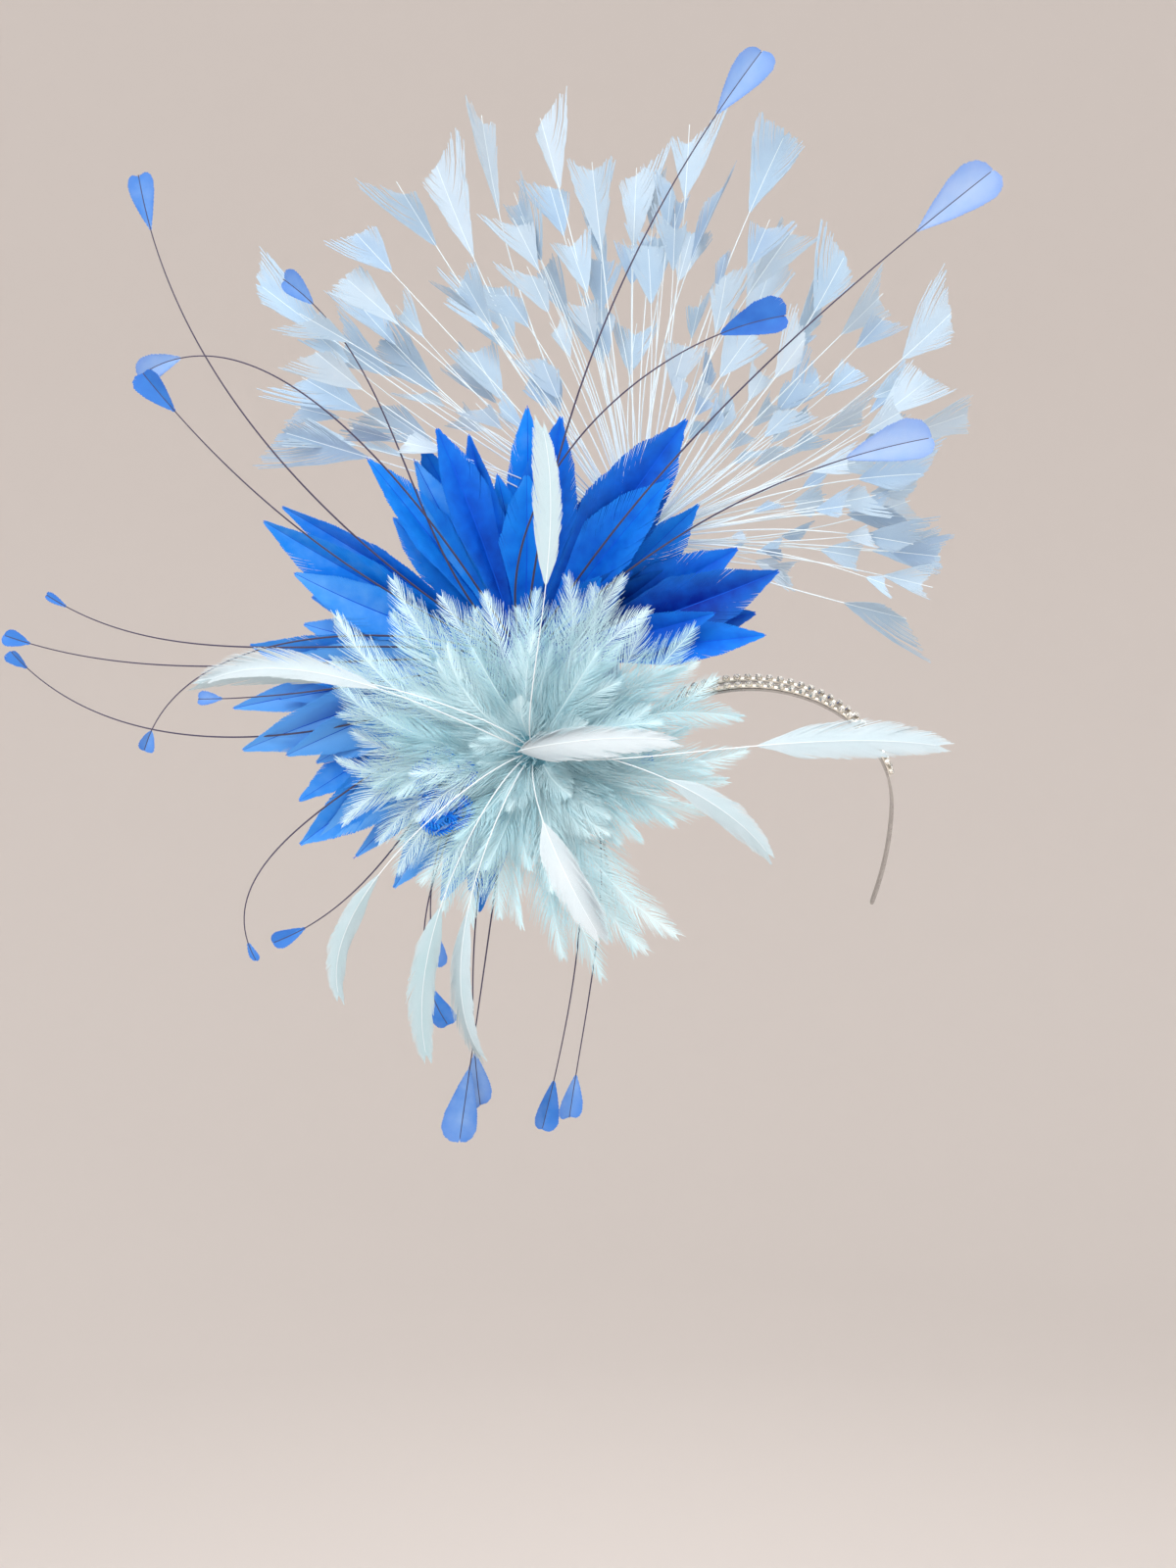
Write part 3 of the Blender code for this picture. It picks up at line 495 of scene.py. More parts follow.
class Bench:
    """A Geometry Nodes tree in the making, with short calls for its sums."""

    def __init__(self, name, sizes):
        self.tree = bpy.data.node_groups.new(name, "GeometryNodeTree")
        self.tree.interface.new_socket("Geometry", in_out="INPUT",
                                       socket_type="NodeSocketGeometry")
        for label, (kind, value) in sizes.items():
            socket = self.tree.interface.new_socket(label, in_out="INPUT", socket_type=kind)
            if value is not None:
                socket.default_value = value
        self.tree.interface.new_socket("Geometry", in_out="OUTPUT",
                                       socket_type="NodeSocketGeometry")
        self.given = self.tree.nodes.new("NodeGroupInput").outputs

    def put(self, kind, feeds=None, **settings):
        return wire(self.tree, kind, feeds, **settings)

    def sum(self, operation, first, second=0.0):
        return sums(self.tree, operation, first, second)

    def arrow(self, operation, first, second=None):
        feeds = {0: first} if second is None else {0: first, 1: second}
        return self.put("ShaderNodeVectorMath", feeds, operation=operation).outputs["Vector"]

    def stretch(self, vector, by):
        return self.put("ShaderNodeVectorMath", {0: vector, "Scale": by},
                        operation="SCALE").outputs["Vector"]

    def read(self, name, kind="FLOAT"):
        node = self.put("GeometryNodeInputNamedAttribute", {"Name": name}, data_type=kind)
        return node.outputs["Attribute"]

    def keep(self, geometry, name, value, kind="FLOAT"):
        node = self.put("GeometryNodeStoreNamedAttribute", None, data_type=kind, domain="POINT")
        self.tree.links.new(geometry, node.inputs["Geometry"])
        node.inputs["Name"].default_value = name
        if isinstance(value, bpy.types.NodeSocket):
            self.tree.links.new(value, node.inputs["Value"])
        else:
            node.inputs["Value"].default_value = value
        return node.outputs["Geometry"]

    def chance(self, low, high, number, salt):
        node = self.put("FunctionNodeRandomValue", None, data_type="FLOAT")
        used = [socket for socket in node.inputs if socket.enabled]
        used[0].default_value, used[1].default_value = low, high
        self.tree.links.new(number, used[2])
        self.tree.links.new(self.sum("ADD", self.given["Seed"], salt), used[3])
        return next(socket for socket in node.outputs if socket.enabled)

    def cloud(self, place, scale):
        node = self.put("ShaderNodeTexNoise", {"Vector": place, "Scale": scale, "Detail": 1.0})
        return self.sum("MULTIPLY", self.sum("SUBTRACT", node.outputs["Fac"], 0.5), 2.0)

    def stepped(self, paths, step):
        node = self.put("GeometryNodeResampleCurve", {"Curve": paths}, mode="LENGTH")
        self.tree.links.new(step, node.inputs["Length"])
        return node.outputs[0]

    def finished(self, geometry):
        """Ends the tree: real geometry in its finish."""
        real = self.put("GeometryNodeRealizeInstances", {0: geometry})
        painted = self.put("GeometryNodeSetMaterial", {"Geometry": real.outputs[0]})
        self.tree.links.new(self.given["Finish"], painted.inputs["Material"])
        leave = self.tree.nodes.new("NodeGroupOutput")
        self.tree.links.new(painted.outputs[0], leave.inputs[0])
        return self.tree


def grown_quills(bench, paths):
    """A round quill along each spine, as thick as the spine says."""
    steps = bench.stepped(paths, bench.given["Quill Step"])
    ring = bench.put("GeometryNodeCurvePrimitiveCircle", {
        "Resolution": bench.given["Quill Sides"], "Radius": 1.0})
    skin = bench.put("GeometryNodeCurveToMesh", {
        "Curve": steps, "Profile Curve": ring.outputs["Curve"],
        "Scale": bench.read("quill"), "Fill Caps": True})
    smooth = bench.put("GeometryNodeSetShadeSmooth", {"Geometry": skin.outputs[0]})
    return bench.keep(smooth.outputs[0], "rib", 1.0)


def straight_barbs(bench, paths):
    """A pair of unbent barbs at each step, which remember where and what they are."""
    given = bench.given
    marked = bench.stepped(paths, given["Barb Spacing"])
    marked = bench.keep(marked, "along", bench.put("GeometryNodeInputTangent").outputs[0],
                        "FLOAT_VECTOR")
    marked = bench.keep(marked, "root", bench.put("GeometryNodeInputPosition").outputs[0],
                        "FLOAT_VECTOR")
    marked = bench.keep(marked, "number", bench.put("GeometryNodeInputIndex").outputs[0])
    pair = bench.put("GeometryNodeJoinGeometry")
    for hand in (1.0, -1.0):
        stick = bench.put("GeometryNodeMeshCylinder", {
            "Vertices": 3, "Side Segments": given["Barb Segments"], "Radius": 1.0, "Depth": 1.0})
        split = bench.put("ShaderNodeSeparateXYZ",
                          {0: bench.put("GeometryNodeInputPosition").outputs[0]})
        made = bench.keep(stick.outputs["Mesh"], "reach",
                          bench.sum("ADD", split.outputs["Z"], 0.5))
        made = bench.keep(made, "edge", split.outputs["X"])
        made = bench.keep(made, "face", split.outputs["Y"])
        made = bench.keep(made, "hand", hand)
        bench.tree.links.new(made, pair.inputs[0])
    feathered = bench.sum("GREATER_THAN", bench.read("vane"), SHORTEST_BARB)
    placed = bench.put("GeometryNodeInstanceOnPoints", {
        "Points": marked, "Selection": feathered, "Instance": pair.outputs[0]})
    return bench.put("GeometryNodeRealizeInstances", {0: placed.outputs[0]}).outputs[0]


def bent_barbs(bench, sticks):
    """Bends each barb sideways and forwards from its root, and gives it width."""
    given, read = bench.given, bench.read
    reach, hand, along = read("reach"), read("hand"), read("along", "FLOAT_VECTOR")
    across = bench.arrow("NORMALIZE", bench.arrow("CROSS_PRODUCT", along,
                                                  read("facing", "FLOAT_VECTOR")))
    up = bench.arrow("CROSS_PRODUCT", across, along)
    side = bench.stretch(across, hand)
    root = read("root", "FLOAT_VECTOR")
    number = bench.sum("ADD", bench.sum("MULTIPLY", read("number"), 2.0),
                       bench.sum("GREATER_THAN", hand, 0.0))
    near = bench.arrow("ADD", root, bench.stretch(side, 0.01))
    clump = bench.cloud(near, given["Clump Scale"])
    puff = bench.cloud(bench.arrow("ADD", near, (3.0, 5.0, 7.0)), given["Clump Scale"])
    stray = bench.chance(-1.0, 1.0, number, 1)
    loss = bench.chance(0.0, 1.0, number, 7)
    sway = bench.sum("ADD", bench.sum("MULTIPLY", clump, given["Clumping"]),
                     bench.sum("MULTIPLY", stray, given["Splay"]))
    uneven = bench.sum("ADD", 1.0, bench.sum("MULTIPLY", read("bias"), hand))
    length = bench.sum("MULTIPLY", bench.sum("MULTIPLY", read("vane"), uneven), bench.sum(
        "SUBTRACT", 1.0, bench.sum("MULTIPLY", loss, given["Ragged"])))
    out_share = bench.sum("SUBTRACT", 1.0, sway)
    on_share = bench.sum("MULTIPLY", bench.sum("ADD", 1.0, sway), read("lean"))
    rise = bench.sum("ADD", given["Lift"], bench.sum("MULTIPLY", puff, given["Fluff"]))

    def mixed(out, on, fold, lift):
        total = bench.arrow("ADD", bench.stretch(side, bench.sum("MULTIPLY", out_share, out)),
                            bench.stretch(along, bench.sum("MULTIPLY", on_share, on)))
        height = bench.sum("ADD", bench.sum("MULTIPLY", given["Fold"], fold),
                           bench.sum("MULTIPLY", rise, lift))
        return bench.arrow("ADD", total, bench.stretch(up, height))

    square = bench.sum("MULTIPLY", reach, reach)
    out = bench.sum("SUBTRACT", bench.sum("MULTIPLY", reach, 1.3),
                    bench.sum("MULTIPLY", square, 0.3))
    on = bench.sum("ADD", bench.sum("MULTIPLY", reach, 0.75), bench.sum("MULTIPLY", square, 0.25))
    middle = bench.arrow("ADD", root, bench.stretch(mixed(out, on, out, square), length))
    out_rate = bench.sum("SUBTRACT", 1.3, bench.sum("MULTIPLY", reach, 0.6))
    heading = bench.arrow("NORMALIZE", mixed(
        out_rate, bench.sum("ADD", 0.75, bench.sum("MULTIPLY", reach, 0.5)), out_rate,
        bench.sum("MULTIPLY", reach, 2.0)))
    normal = bench.stretch(bench.arrow("NORMALIZE", bench.arrow("CROSS_PRODUCT", heading, along)),
                           hand)
    flat = bench.arrow("CROSS_PRODUCT", normal, heading)
    slim = bench.sum("SUBTRACT", 1.0, bench.sum("MULTIPLY", square, given["Taper"]))
    half = bench.sum("MULTIPLY", bench.sum("MULTIPLY", slim, given["Barb Width"]), 0.5)
    wide = bench.sum("MULTIPLY", bench.sum("MULTIPLY", read("edge"), half), hand)
    deep = bench.sum("MULTIPLY", bench.sum("MULTIPLY", read("face"), hand),
                     bench.sum("MULTIPLY", given["Barb Thickness"], 0.5))
    tilt = bench.sum("MULTIPLY", bench.sum("MULTIPLY", wide, hand), given["Shingle"])
    place = bench.arrow("ADD", middle, bench.arrow(
        "ADD", bench.stretch(flat, wide), bench.stretch(normal, bench.sum("ADD", deep, tilt))))
    return bench.put("GeometryNodeSetPosition", {"Geometry": sticks,
                                                 "Position": place}).outputs[0]


def growth_tree():
    bench = Bench("feather_growth", GROWTH_SIZES)
    paths = bench.put("GeometryNodeMeshToCurve", {"Mesh": bench.given["Geometry"]}).outputs[0]
    joined = bench.put("GeometryNodeJoinGeometry")
    bench.tree.links.new(grown_quills(bench, paths), joined.inputs[0])
    bench.tree.links.new(bent_barbs(bench, straight_barbs(bench, paths)), joined.inputs[0])
    return bench.finished(joined.outputs[0])


GROWTH = growth_tree()
print("growth tree:", len(GROWTH.nodes), "nodes")

# %% [markdown]
# ## Spines
#
# A spine is a smooth curve from the feather's root to its tip. It leaves the root in one
# direction and arrives at the tip in another, which is how a springy quill behaves when it is
# bound at one end. The blade's outline is a short form, as in a pattern for cutting: share of
# the blade's length, share of its half width. A barb runs out until it meets that outline, and
# a notch cuts the end to a V, just as scissors trim a real fishtail. Near the tip the barbs
# gather round the quill, which closes the blade to a point.

# %% Spines and outlines
LEAVE_PULL = 0.38  # how far each end holds its direction, in shares of the straight span
ARRIVE_PULL = 0.34
TRIM_STEPS = 60


def curve_point(route, t):
    """Point on the curve that leaves root along one direction and arrives at tip along another."""
    root, leave, tip, arrive = route
    span = (tip - root).length
    first = root + leave * (span * LEAVE_PULL)
    last = tip - arrive * (span * ARRIVE_PULL)
    u = 1.0 - t
    return root * u**3 + first * (3 * u * u * t) + last * (3 * u * t * t) + tip * t**3


def route_length(route, steps=24):
    line = [curve_point(route, i / steps) for i in range(steps + 1)]
    return sum((b - a).length for a, b in zip(line, line[1:]))


def outline(form, share):
    """The form's width at a share of its length, in straight runs between its rows."""
    for (s0, w0), (s1, w1) in zip(form, form[1:]):
        if s0 <= share <= s1:
            return w0 + (w1 - w0) * (share - s0) / (s1 - s0)
    return 0.0


def trimmed(form, half_width, length, lean, share, notch):
    """How far sideways a barb runs from a share of the blade before it meets the outline."""
    reach, step = 0.0, half_width / TRIM_STEPS
    while reach < half_width:
        ahead = share + lean * reach / length
        end = 1.0 - notch * (1.0 - reach / half_width)
        if reach > half_width * outline(form, ahead) or ahead > end:
            break
        reach += step
    return reach


class Hand:
    """Seeded chance, so that the same feathers grow on every run."""

    def __init__(self, seed):
        self.dice = random.Random(seed)

    def about(self, spread, middle=0.0):
        return middle + self.dice.uniform(-spread, spread)


def spine(route, form, half_width, lean, start=0.0, end=0.995, notch=0.0, roll=0.0, twist=0.0,
          gather=0.0, bias=0.0, quill=0.0005, fade=0.35, tone=0.5, steps=28):
    """Everything that one feather tells the growth tree, from root to the end of its quill."""
    points = [curve_point(route, end * i / steps) for i in range(steps + 1)]
    blade = route_length(route) * (1.0 - start)
    rows = []
    for i, point in enumerate(points):
        share = end * i / steps
        ahead = points[min(i + 1, steps)] - points[max(i - 1, 0)]
        turn = Matrix.Rotation(math.radians(roll + twist * share), 3, ahead.normalized())
        on_blade = (share - start) / (1.0 - start)
        leaning = lean * (1.0 + gather * max(0.0, (on_blade - 0.5) / 0.5) ** 2)
        vane = 0.0
        if on_blade >= 0.0:
            vane = trimmed(form, half_width, blade, leaning, on_blade, notch)
        rows.append({"point": point, "facing": turn @ FORWARD, "vane": vane, "lean": leaning,
                     "quill": quill * (1.0 - (1.0 - fade) * share), "run": share,
                     "bias": bias, "tone": tone})
    return rows


def thread(points, radius, tone=0.5):
    """A thread or a strand of straw is a quill without barbs."""
    return [{"point": point, "facing": FORWARD, "vane": 0.0, "lean": 1.0, "quill": radius,
             "run": i / len(points), "bias": 0.0, "tone": tone} for i, point in enumerate(points)]


def spine_mesh(name, spines):
    """Polylines whose points carry the numbers that a tree reads."""
    rows = [row for made in spines for row in made]
    edges, first = [], 0
    for made in spines:
        edges += [(i, i + 1) for i in range(first, first + len(made) - 1)]
        first += len(made)
    mesh = bpy.data.meshes.new(name)
    mesh.from_pydata([row["point"] for row in rows], edges, [])
    for key in rows[0]:
        if key == "point":
            continue
        if isinstance(rows[0][key], Vector):
            store = mesh.attributes.new(key, "FLOAT_VECTOR", "POINT")
            store.data.foreach_set("vector", [part for row in rows for part in row[key]])
        else:
            store = mesh.attributes.new(key, "FLOAT", "POINT")
            store.data.foreach_set("value", [row[key] for row in rows])
    return mesh


SPENT = ("along", "root", "number", "face", "hand", "facing", "vane", "quill", "lean", "bias",
         "out")


def baked(name, bed_mesh, tree, settings):
    """Runs a tree on a bed mesh and gives back what it made as a plain mesh."""
    bed = bpy.data.objects.new(name + "_bed", bed_mesh)
    bpy.context.scene.collection.objects.link(bed)
    growth = bed.modifiers.new("growth", "NODES")
    growth.node_group = tree
    for item in tree.interface.items_tree:
        if item.in_out == "INPUT" and item.name in settings:
            growth[item.identifier] = settings[item.name]
    depsgraph = bpy.context.evaluated_depsgraph_get()
    mesh = bpy.data.meshes.new_from_object(bed.evaluated_get(depsgraph), depsgraph=depsgraph,
                                           preserve_all_data_layers=True)
    bed.modifiers.remove(growth)
    bpy.data.objects.remove(bed, do_unlink=True)
    for spare in SPENT:
        if spare in mesh.attributes:
            mesh.attributes.remove(mesh.attributes[spare])
    mesh.name = name
    return mesh


def keep_piece(name, mesh, nodes):
    """Adds a finished mesh to the scene in place of the nodes that it stands for."""
    piece = bpy.data.objects.new(name, mesh)
    bpy.context.scene.collection.objects.link(piece)
    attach(piece, BODY)
    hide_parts(*nodes)
    print(name, sum(len(face.vertices) - 2 for face in mesh.polygons), "triangles")
    return piece


def grow(name, spines, settings, nodes):
    """Grows feathers or threads on some spines and keeps them as one piece."""
    mesh = baked(name, spine_mesh(name + "_spines", spines), GROWTH, settings)
    return keep_piece(name, mesh, nodes)


print("spine helpers ready")

# %% [markdown]
# ## Turned and folded shapes
#
# Cups, stones, discs and the core of the base are turned like wood on a lathe, from a few rows
# of radius and height. A small round on every sharp edge gives the light a line to catch.

# %% Shapes made in mesh code
def mesh_from(name, shape, finish, sharp=35):
    """A closed bmesh as a mesh with outward faces, smooth but for its sharp edges."""
    bmesh.ops.recalc_face_normals(shape, faces=shape.faces[:])
    mesh = bpy.data.meshes.new(name)
    shape.to_mesh(mesh)
    shape.free()
    mesh.materials.append(finish)
    mesh.shade_smooth()
    mesh.set_sharp_from_angle(angle=math.radians(sharp))
    return mesh


def turned(shape, profile, foot, axis, sides=24, stagger=0.0, claw=None):
    """Turns (radius, height) rows about an axis from foot, and closes both ends.

    A claw is a row at which every fourth corner moves to a share of its radius and rises.
    """
    axis = axis.normalized()
    across = axis.orthogonal().normalized()
    up = axis.cross(across)
    rings = []
    for row, (radius, height) in enumerate(profile):
        ring = []
        for i in range(sides):
            wide, high = radius, height
            if claw and row in claw["rows"] and i % 4 == 0:
                wide, high = radius * claw["share"], height + claw["rise"]
            turn = 2 * math.pi * (i + stagger * row) / sides
            ring.append(shape.verts.new(
                foot + axis * high + (across * math.cos(turn) + up * math.sin(turn)) * wide))
        rings.append(ring)
    skin(shape, rings)


def skin(shape, rings):
    """Joins each ring of corners to the next and closes the first and the last."""
    count = len(rings[0])
    for low, high in zip(rings, rings[1:]):
        for i in range(count):
            j = (i + 1) % count
            shape.faces.new((low[i], low[j], high[j], high[i]))
    shape.faces.new(tuple(reversed(rings[0])))
    shape.faces.new(tuple(rings[-1]))


def soften(shape, width, angle=60):
    """Rounds every edge that is sharper than an angle."""
    sharp = [edge for edge in shape.edges
             if len(edge.link_faces) == 2 and edge.calc_face_angle(0.0) > math.radians(angle)]
    bmesh.ops.bevel(shape, geom=sharp, offset=width, segments=2, profile=0.5, affect="EDGES",
                    clamp_overlap=True)


print("shape helpers ready")

# %% [markdown]
# ## The steel band
#
# Two narrow steel rails run over the head a few millimetres apart and join above each ear into
# one arm that narrows to a rounded tip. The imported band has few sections. This one has many and
# a small radius on every edge, because a bright line along the edge is what makes steel read.

# %% Steel headband
BAND_STEPS = 208  # a multiple of 26 puts a section where the rails join


def rail_offset(station):
    """How far the middle of each rail lies from the band's own middle."""
    share = min(abs(station) / RAIL_JOIN_STATION, 1.0) ** 3
    return RAIL_OFFSET_TOP + (RAIL_OFFSET_END - RAIL_OFFSET_TOP) * share


def band_half_width(station):
    joined = RAIL_OFFSET_END + 0.5 * RAIL_WIDTH
    if abs(station) <= RAIL_JOIN_STATION:
        return rail_offset(station) + 0.5 * RAIL_WIDTH
    share = (abs(station) - RAIL_JOIN_STATION) / (BAND_END_STATION - RAIL_JOIN_STATION)
    last = max(0.0, (share - 0.95) / 0.05)
    rounding = math.sqrt(1.0 - 0.75 * last * last)
    return (joined + (ARM_TIP_HALF_WIDTH - joined) * share) * rounding


def headband_mesh():
    shape = bmesh.new()
    stations = [BAND_END_STATION * (2.0 * i / BAND_STEPS - 1.0) for i in range(BAND_STEPS + 1)]
    rows = []
    for station in stations:
        half = band_half_width(station)
        slot = max(rail_offset(station) - 0.5 * RAIL_WIDTH, 0.0004)
        row = {}
        for side, out in (("in", -0.5 * BAND_THICKNESS), ("out", 0.5 * BAND_THICKNESS)):
            row[side] = [shape.verts.new(band_point(station, across, out))
                         for across in (-half, -slot, slot, half)]
        rows.append(row)
    slotted = [abs(a + b) / 2.0 < RAIL_JOIN_STATION for a, b in zip(stations, stations[1:])]
    for i, (a, b) in enumerate(zip(rows, rows[1:])):
        for strip in range(3):
            if strip == 1 and slotted[i]:
                continue
            for side in ("in", "out"):
                shape.faces.new((a[side][strip], a[side][strip + 1],
                                 b[side][strip + 1], b[side][strip]))
        for wall in (0, 1, 2, 3) if slotted[i] else (0, 3):
            shape.faces.new((a["in"][wall], b["in"][wall], b["out"][wall], a["out"][wall]))
        if i and slotted[i] != slotted[i - 1]:
            shape.faces.new((a["in"][1], a["in"][2], a["out"][2], a["out"][1]))
    for row in (rows[0], rows[-1]):
        for strip in range(3):
            shape.faces.new((row["in"][strip], row["in"][strip + 1],
                             row["out"][strip + 1], row["out"][strip]))
    soften(shape, 0.00022)
    return mesh_from("headband_steel", shape, STEEL)


keep_piece("headband_steel", headband_mesh(), ["headband"])

# %% [markdown]
# ## The crystal rows
#
# Cup chain: round stones, each in its own small cup with four claws, joined by a strip. A second
# tree sets one stone or one cup at every pitch along a rail and turns it to stand on the band,
# so the stone is modelled once. The stone has a table, two rings of eight facets round it, and
# a pointed back, which is what breaks light up inside it.

# %% Stones, cups and the chain
CRYSTAL_PITCH = 0.0052
STONE_RADIUS = 0.00172
CUP_RADIUS = 0.0019
CUP_HEIGHT = 0.0017
CHAIN_HALF_WIDTH = 0.0013
CHAIN_THICKNESS = 0.0007
ROW_ENDS = (-27.0, 73.0)
ROW_STEPS = 120
END_ROOM = 1.6  # degrees of bare strip before the first cup and after the last
CHAIN_FLOOR = 0.5 * BAND_THICKNESS + GAP

# shares of the stone's radius, then shares of the cup's radius and height
STONE_PROFILE = ((0.10, -0.62), (0.98, -0.06), (1.0, 0.04), (0.80, 0.27), (0.55, 0.42))
CUP_PROFILE = ((0.80, 0.0), (0.97, 0.25), (1.0, 1.0), (0.91, 1.0), (0.70, 0.22))
CUP_CLAW = {"rows": (2, 3), "share": 0.72, "rise": 0.0006}
RAIL_SIZES = {
    "Pitch": ("NodeSocketFloat", CRYSTAL_PITCH),
    "Setting": ("NodeSocketObject", None),
    "Finish": ("NodeSocketMaterial", None),
}


def setting_tree():
    """Sets one object at every pitch along a rail, standing out from the band."""
    bench = Bench("set_along_rail", RAIL_SIZES)
    paths = bench.put("GeometryNodeMeshToCurve", {"Mesh": bench.given["Geometry"]}).outputs[0]
    steps = bench.stepped(paths, bench.given["Pitch"])
    part = bench.put("GeometryNodeObjectInfo", {"Object": bench.given["Setting"]})
    turn = bench.put("FunctionNodeAxesToRotation", {
        "Primary Axis": bench.read("out", "FLOAT_VECTOR"),
        "Secondary Axis": bench.put("GeometryNodeInputTangent").outputs[0]},
        primary_axis="Z", secondary_axis="X")
    placed = bench.put("GeometryNodeInstanceOnPoints", {
        "Points": steps, "Instance": part.outputs["Geometry"], "Rotation": turn.outputs[0]})
    return bench.finished(placed.outputs[0])


def rail_bed(name, lift):
    """Both rails as polylines that lie so far off the band, each point with its way out."""
    lines = []
    for side in (-1.0, 1.0):
        line = []
        for i in range(ROW_STEPS + 1):
            station = (ROW_ENDS[0] + END_ROOM
                       + (ROW_ENDS[1] - ROW_ENDS[0] - 2 * END_ROOM) * i / ROW_STEPS)
            across = side * rail_offset(station)
            low = band_point(station, across, CHAIN_FLOOR + lift)
            high = band_point(station, across, CHAIN_FLOOR + lift + 0.001)
            line.append({"point": low, "out": (high - low).normalized()})
        lines.append(line)
    return spine_mesh(name, lines)


def set_along_rails(name, part_mesh, lift, finish):
    part = bpy.data.objects.new(name + "_part", part_mesh)
    bpy.context.scene.collection.objects.link(part)
    mesh = baked(name, rail_bed(name + "_rails", lift), SETTING,
                 {"Pitch": CRYSTAL_PITCH, "Setting": part, "Finish": finish})
    bpy.data.objects.remove(part, do_unlink=True)
    return keep_piece(name, mesh, ["crystal_row_front", "crystal_row_back"])


def stone_mesh():
    shape = bmesh.new()
    rows = [(STONE_RADIUS * wide, STONE_RADIUS * high) for wide, high in STONE_PROFILE]
    turned(shape, rows, Vector(), Vector((0, 0, 1)), sides=8, stagger=0.5)
    bmesh.ops.triangulate(shape, faces=[face for face in shape.faces if len(face.verts) == 4])
    mesh = mesh_from("stone", shape, CRYSTAL)
    mesh.shade_flat()
    return mesh


def cup_mesh():
    shape = bmesh.new()
    rows = [(CUP_RADIUS * wide, CUP_HEIGHT * high) for wide, high in CUP_PROFILE]
    turned(shape, rows, Vector(), Vector((0, 0, 1)), sides=16, claw=CUP_CLAW)
    return mesh_from("cup", shape, SILVER, 30)


def chain_mesh():
    """The strips under the cups."""
    shape = bmesh.new()
    corners = ((-CHAIN_HALF_WIDTH, 0.0), (-CHAIN_HALF_WIDTH, CHAIN_THICKNESS),
               (CHAIN_HALF_WIDTH, CHAIN_THICKNESS), (CHAIN_HALF_WIDTH, 0.0))
    for side in (-1.0, 1.0):
        rings = []
        for i in range(ROW_STEPS + 1):
            station = ROW_ENDS[0] + (ROW_ENDS[1] - ROW_ENDS[0]) * i / ROW_STEPS
            middle = side * rail_offset(station)
            rings.append([shape.verts.new(band_point(station, middle + across, CHAIN_FLOOR + out))
                          for across, out in corners])
        skin(shape, rings)
    soften(shape, 0.00015)
    return mesh_from("cup_chain_strips", shape, SILVER)


SETTING = setting_tree()
keep_piece("cup_chain_strips", chain_mesh(), ["crystal_row_front", "crystal_row_back"])
set_along_rails("crystal_cups", cup_mesh(), 0.5 * CHAIN_THICKNESS, SILVER)
set_along_rails("crystal_stones", stone_mesh(), 0.5 * CHAIN_THICKNESS + CUP_HEIGHT, CRYSTAL)

# %% [markdown]
# ## The sinamay base
#
# Sinamay is woven from banana fibre and stiffened. Its strands go over and under each other in
# both directions, and the growth tree can lay them too: a strand is a quill with no barbs whose
# path rises and dips. A thin turned core stands for the size that stiffens it, a rolled binding
# covers the rim, small stitches hold it, and a strap of the same cloth laps over the band.

# %% Woven base, binding and strap
WEAVE_PITCH = 0.0020
STRAND_RADIUS = 0.00055
WEAVE_RISE = 0.00055
CORE_THICKNESS = 0.0006
BINDING_RADIUS = 0.00125
STITCH_RADIUS = 0.00016
STITCHES = 44
STRAP_STITCH_ROW = 0.0068  # from the strap's middle
STRAP_EDGE_SHARE = 0.86  # of its thickness, which is what is left of it at the stitches
BASE_SIDE = SAUCER_FACING.cross(Vector((0.0, 0.0, 1.0))).normalized()
BASE_TOP = BASE_SIDE.cross(SAUCER_FACING).normalized()
BASE_RIM = SAUCER_RADIUS - BINDING_RADIUS


def base_point(angle, radius, out=0.0):
    """Point of the base at an angle and a radius, so far in front of its middle plane."""
    flat = BASE_SIDE * math.cos(angle) + BASE_TOP * math.sin(angle)
    return SAUCER_CENTRE + flat * radius + SAUCER_FACING * out


def woven_strands():
    """Strands both ways across the base, over one and under the next."""
    made, hand = [], Hand(21)
    count = int(BASE_RIM / WEAVE_PITCH)
    for run, offset_way, phase in ((BASE_SIDE, BASE_TOP, 1.0), (BASE_TOP, BASE_SIDE, -1.0)):
        for k in range(-count, count + 1):
            half = math.sqrt(BASE_RIM ** 2 - (k * WEAVE_PITCH) ** 2)
            steps = max(4, int(4 * half / WEAVE_PITCH))
            middle = SAUCER_CENTRE + offset_way * (k * WEAVE_PITCH)
            line = []
            for i in range(steps + 1):
                s = -half + 2 * half * i / steps
                wave = math.cos(math.pi * s / WEAVE_PITCH) * (-1.0) ** k * phase
                line.append(middle + run * s + SAUCER_FACING * (WEAVE_RISE * wave))
            made.append(thread(line, STRAND_RADIUS * hand.about(0.15, 0.95), hand.about(0.5, 0.5)))
    return made


def base_core_mesh():
    shape = bmesh.new()
    half = 0.5 * CORE_THICKNESS
    turned(shape, ((BASE_RIM * 0.99, -half), (BASE_RIM, 0.0), (BASE_RIM * 0.99, half)),
           SAUCER_CENTRE, SAUCER_FACING, sides=96)
    return mesh_from("sinamay_core", shape, STRAW)


def binding_spines():
    """The rolled binding round the rim, and a stitch over it every few millimetres."""
    made = [thread([base_point(2 * math.pi * i / 120, BASE_RIM) for i in range(121)],
                   BINDING_RADIUS)]
    around = BINDING_RADIUS + 0.5 * STITCH_RADIUS
    for k in range(STITCHES):
        arc = []
        for i in range(9):
            turn = math.radians(-120 + 240 * i / 8)
            arc.append(base_point(2 * math.pi * k / STITCHES + 0.02 * i / 8,
                                  BASE_RIM + around * math.cos(turn), around * math.sin(turn)))
        made.append(thread(arc, STITCH_RADIUS))
    return made


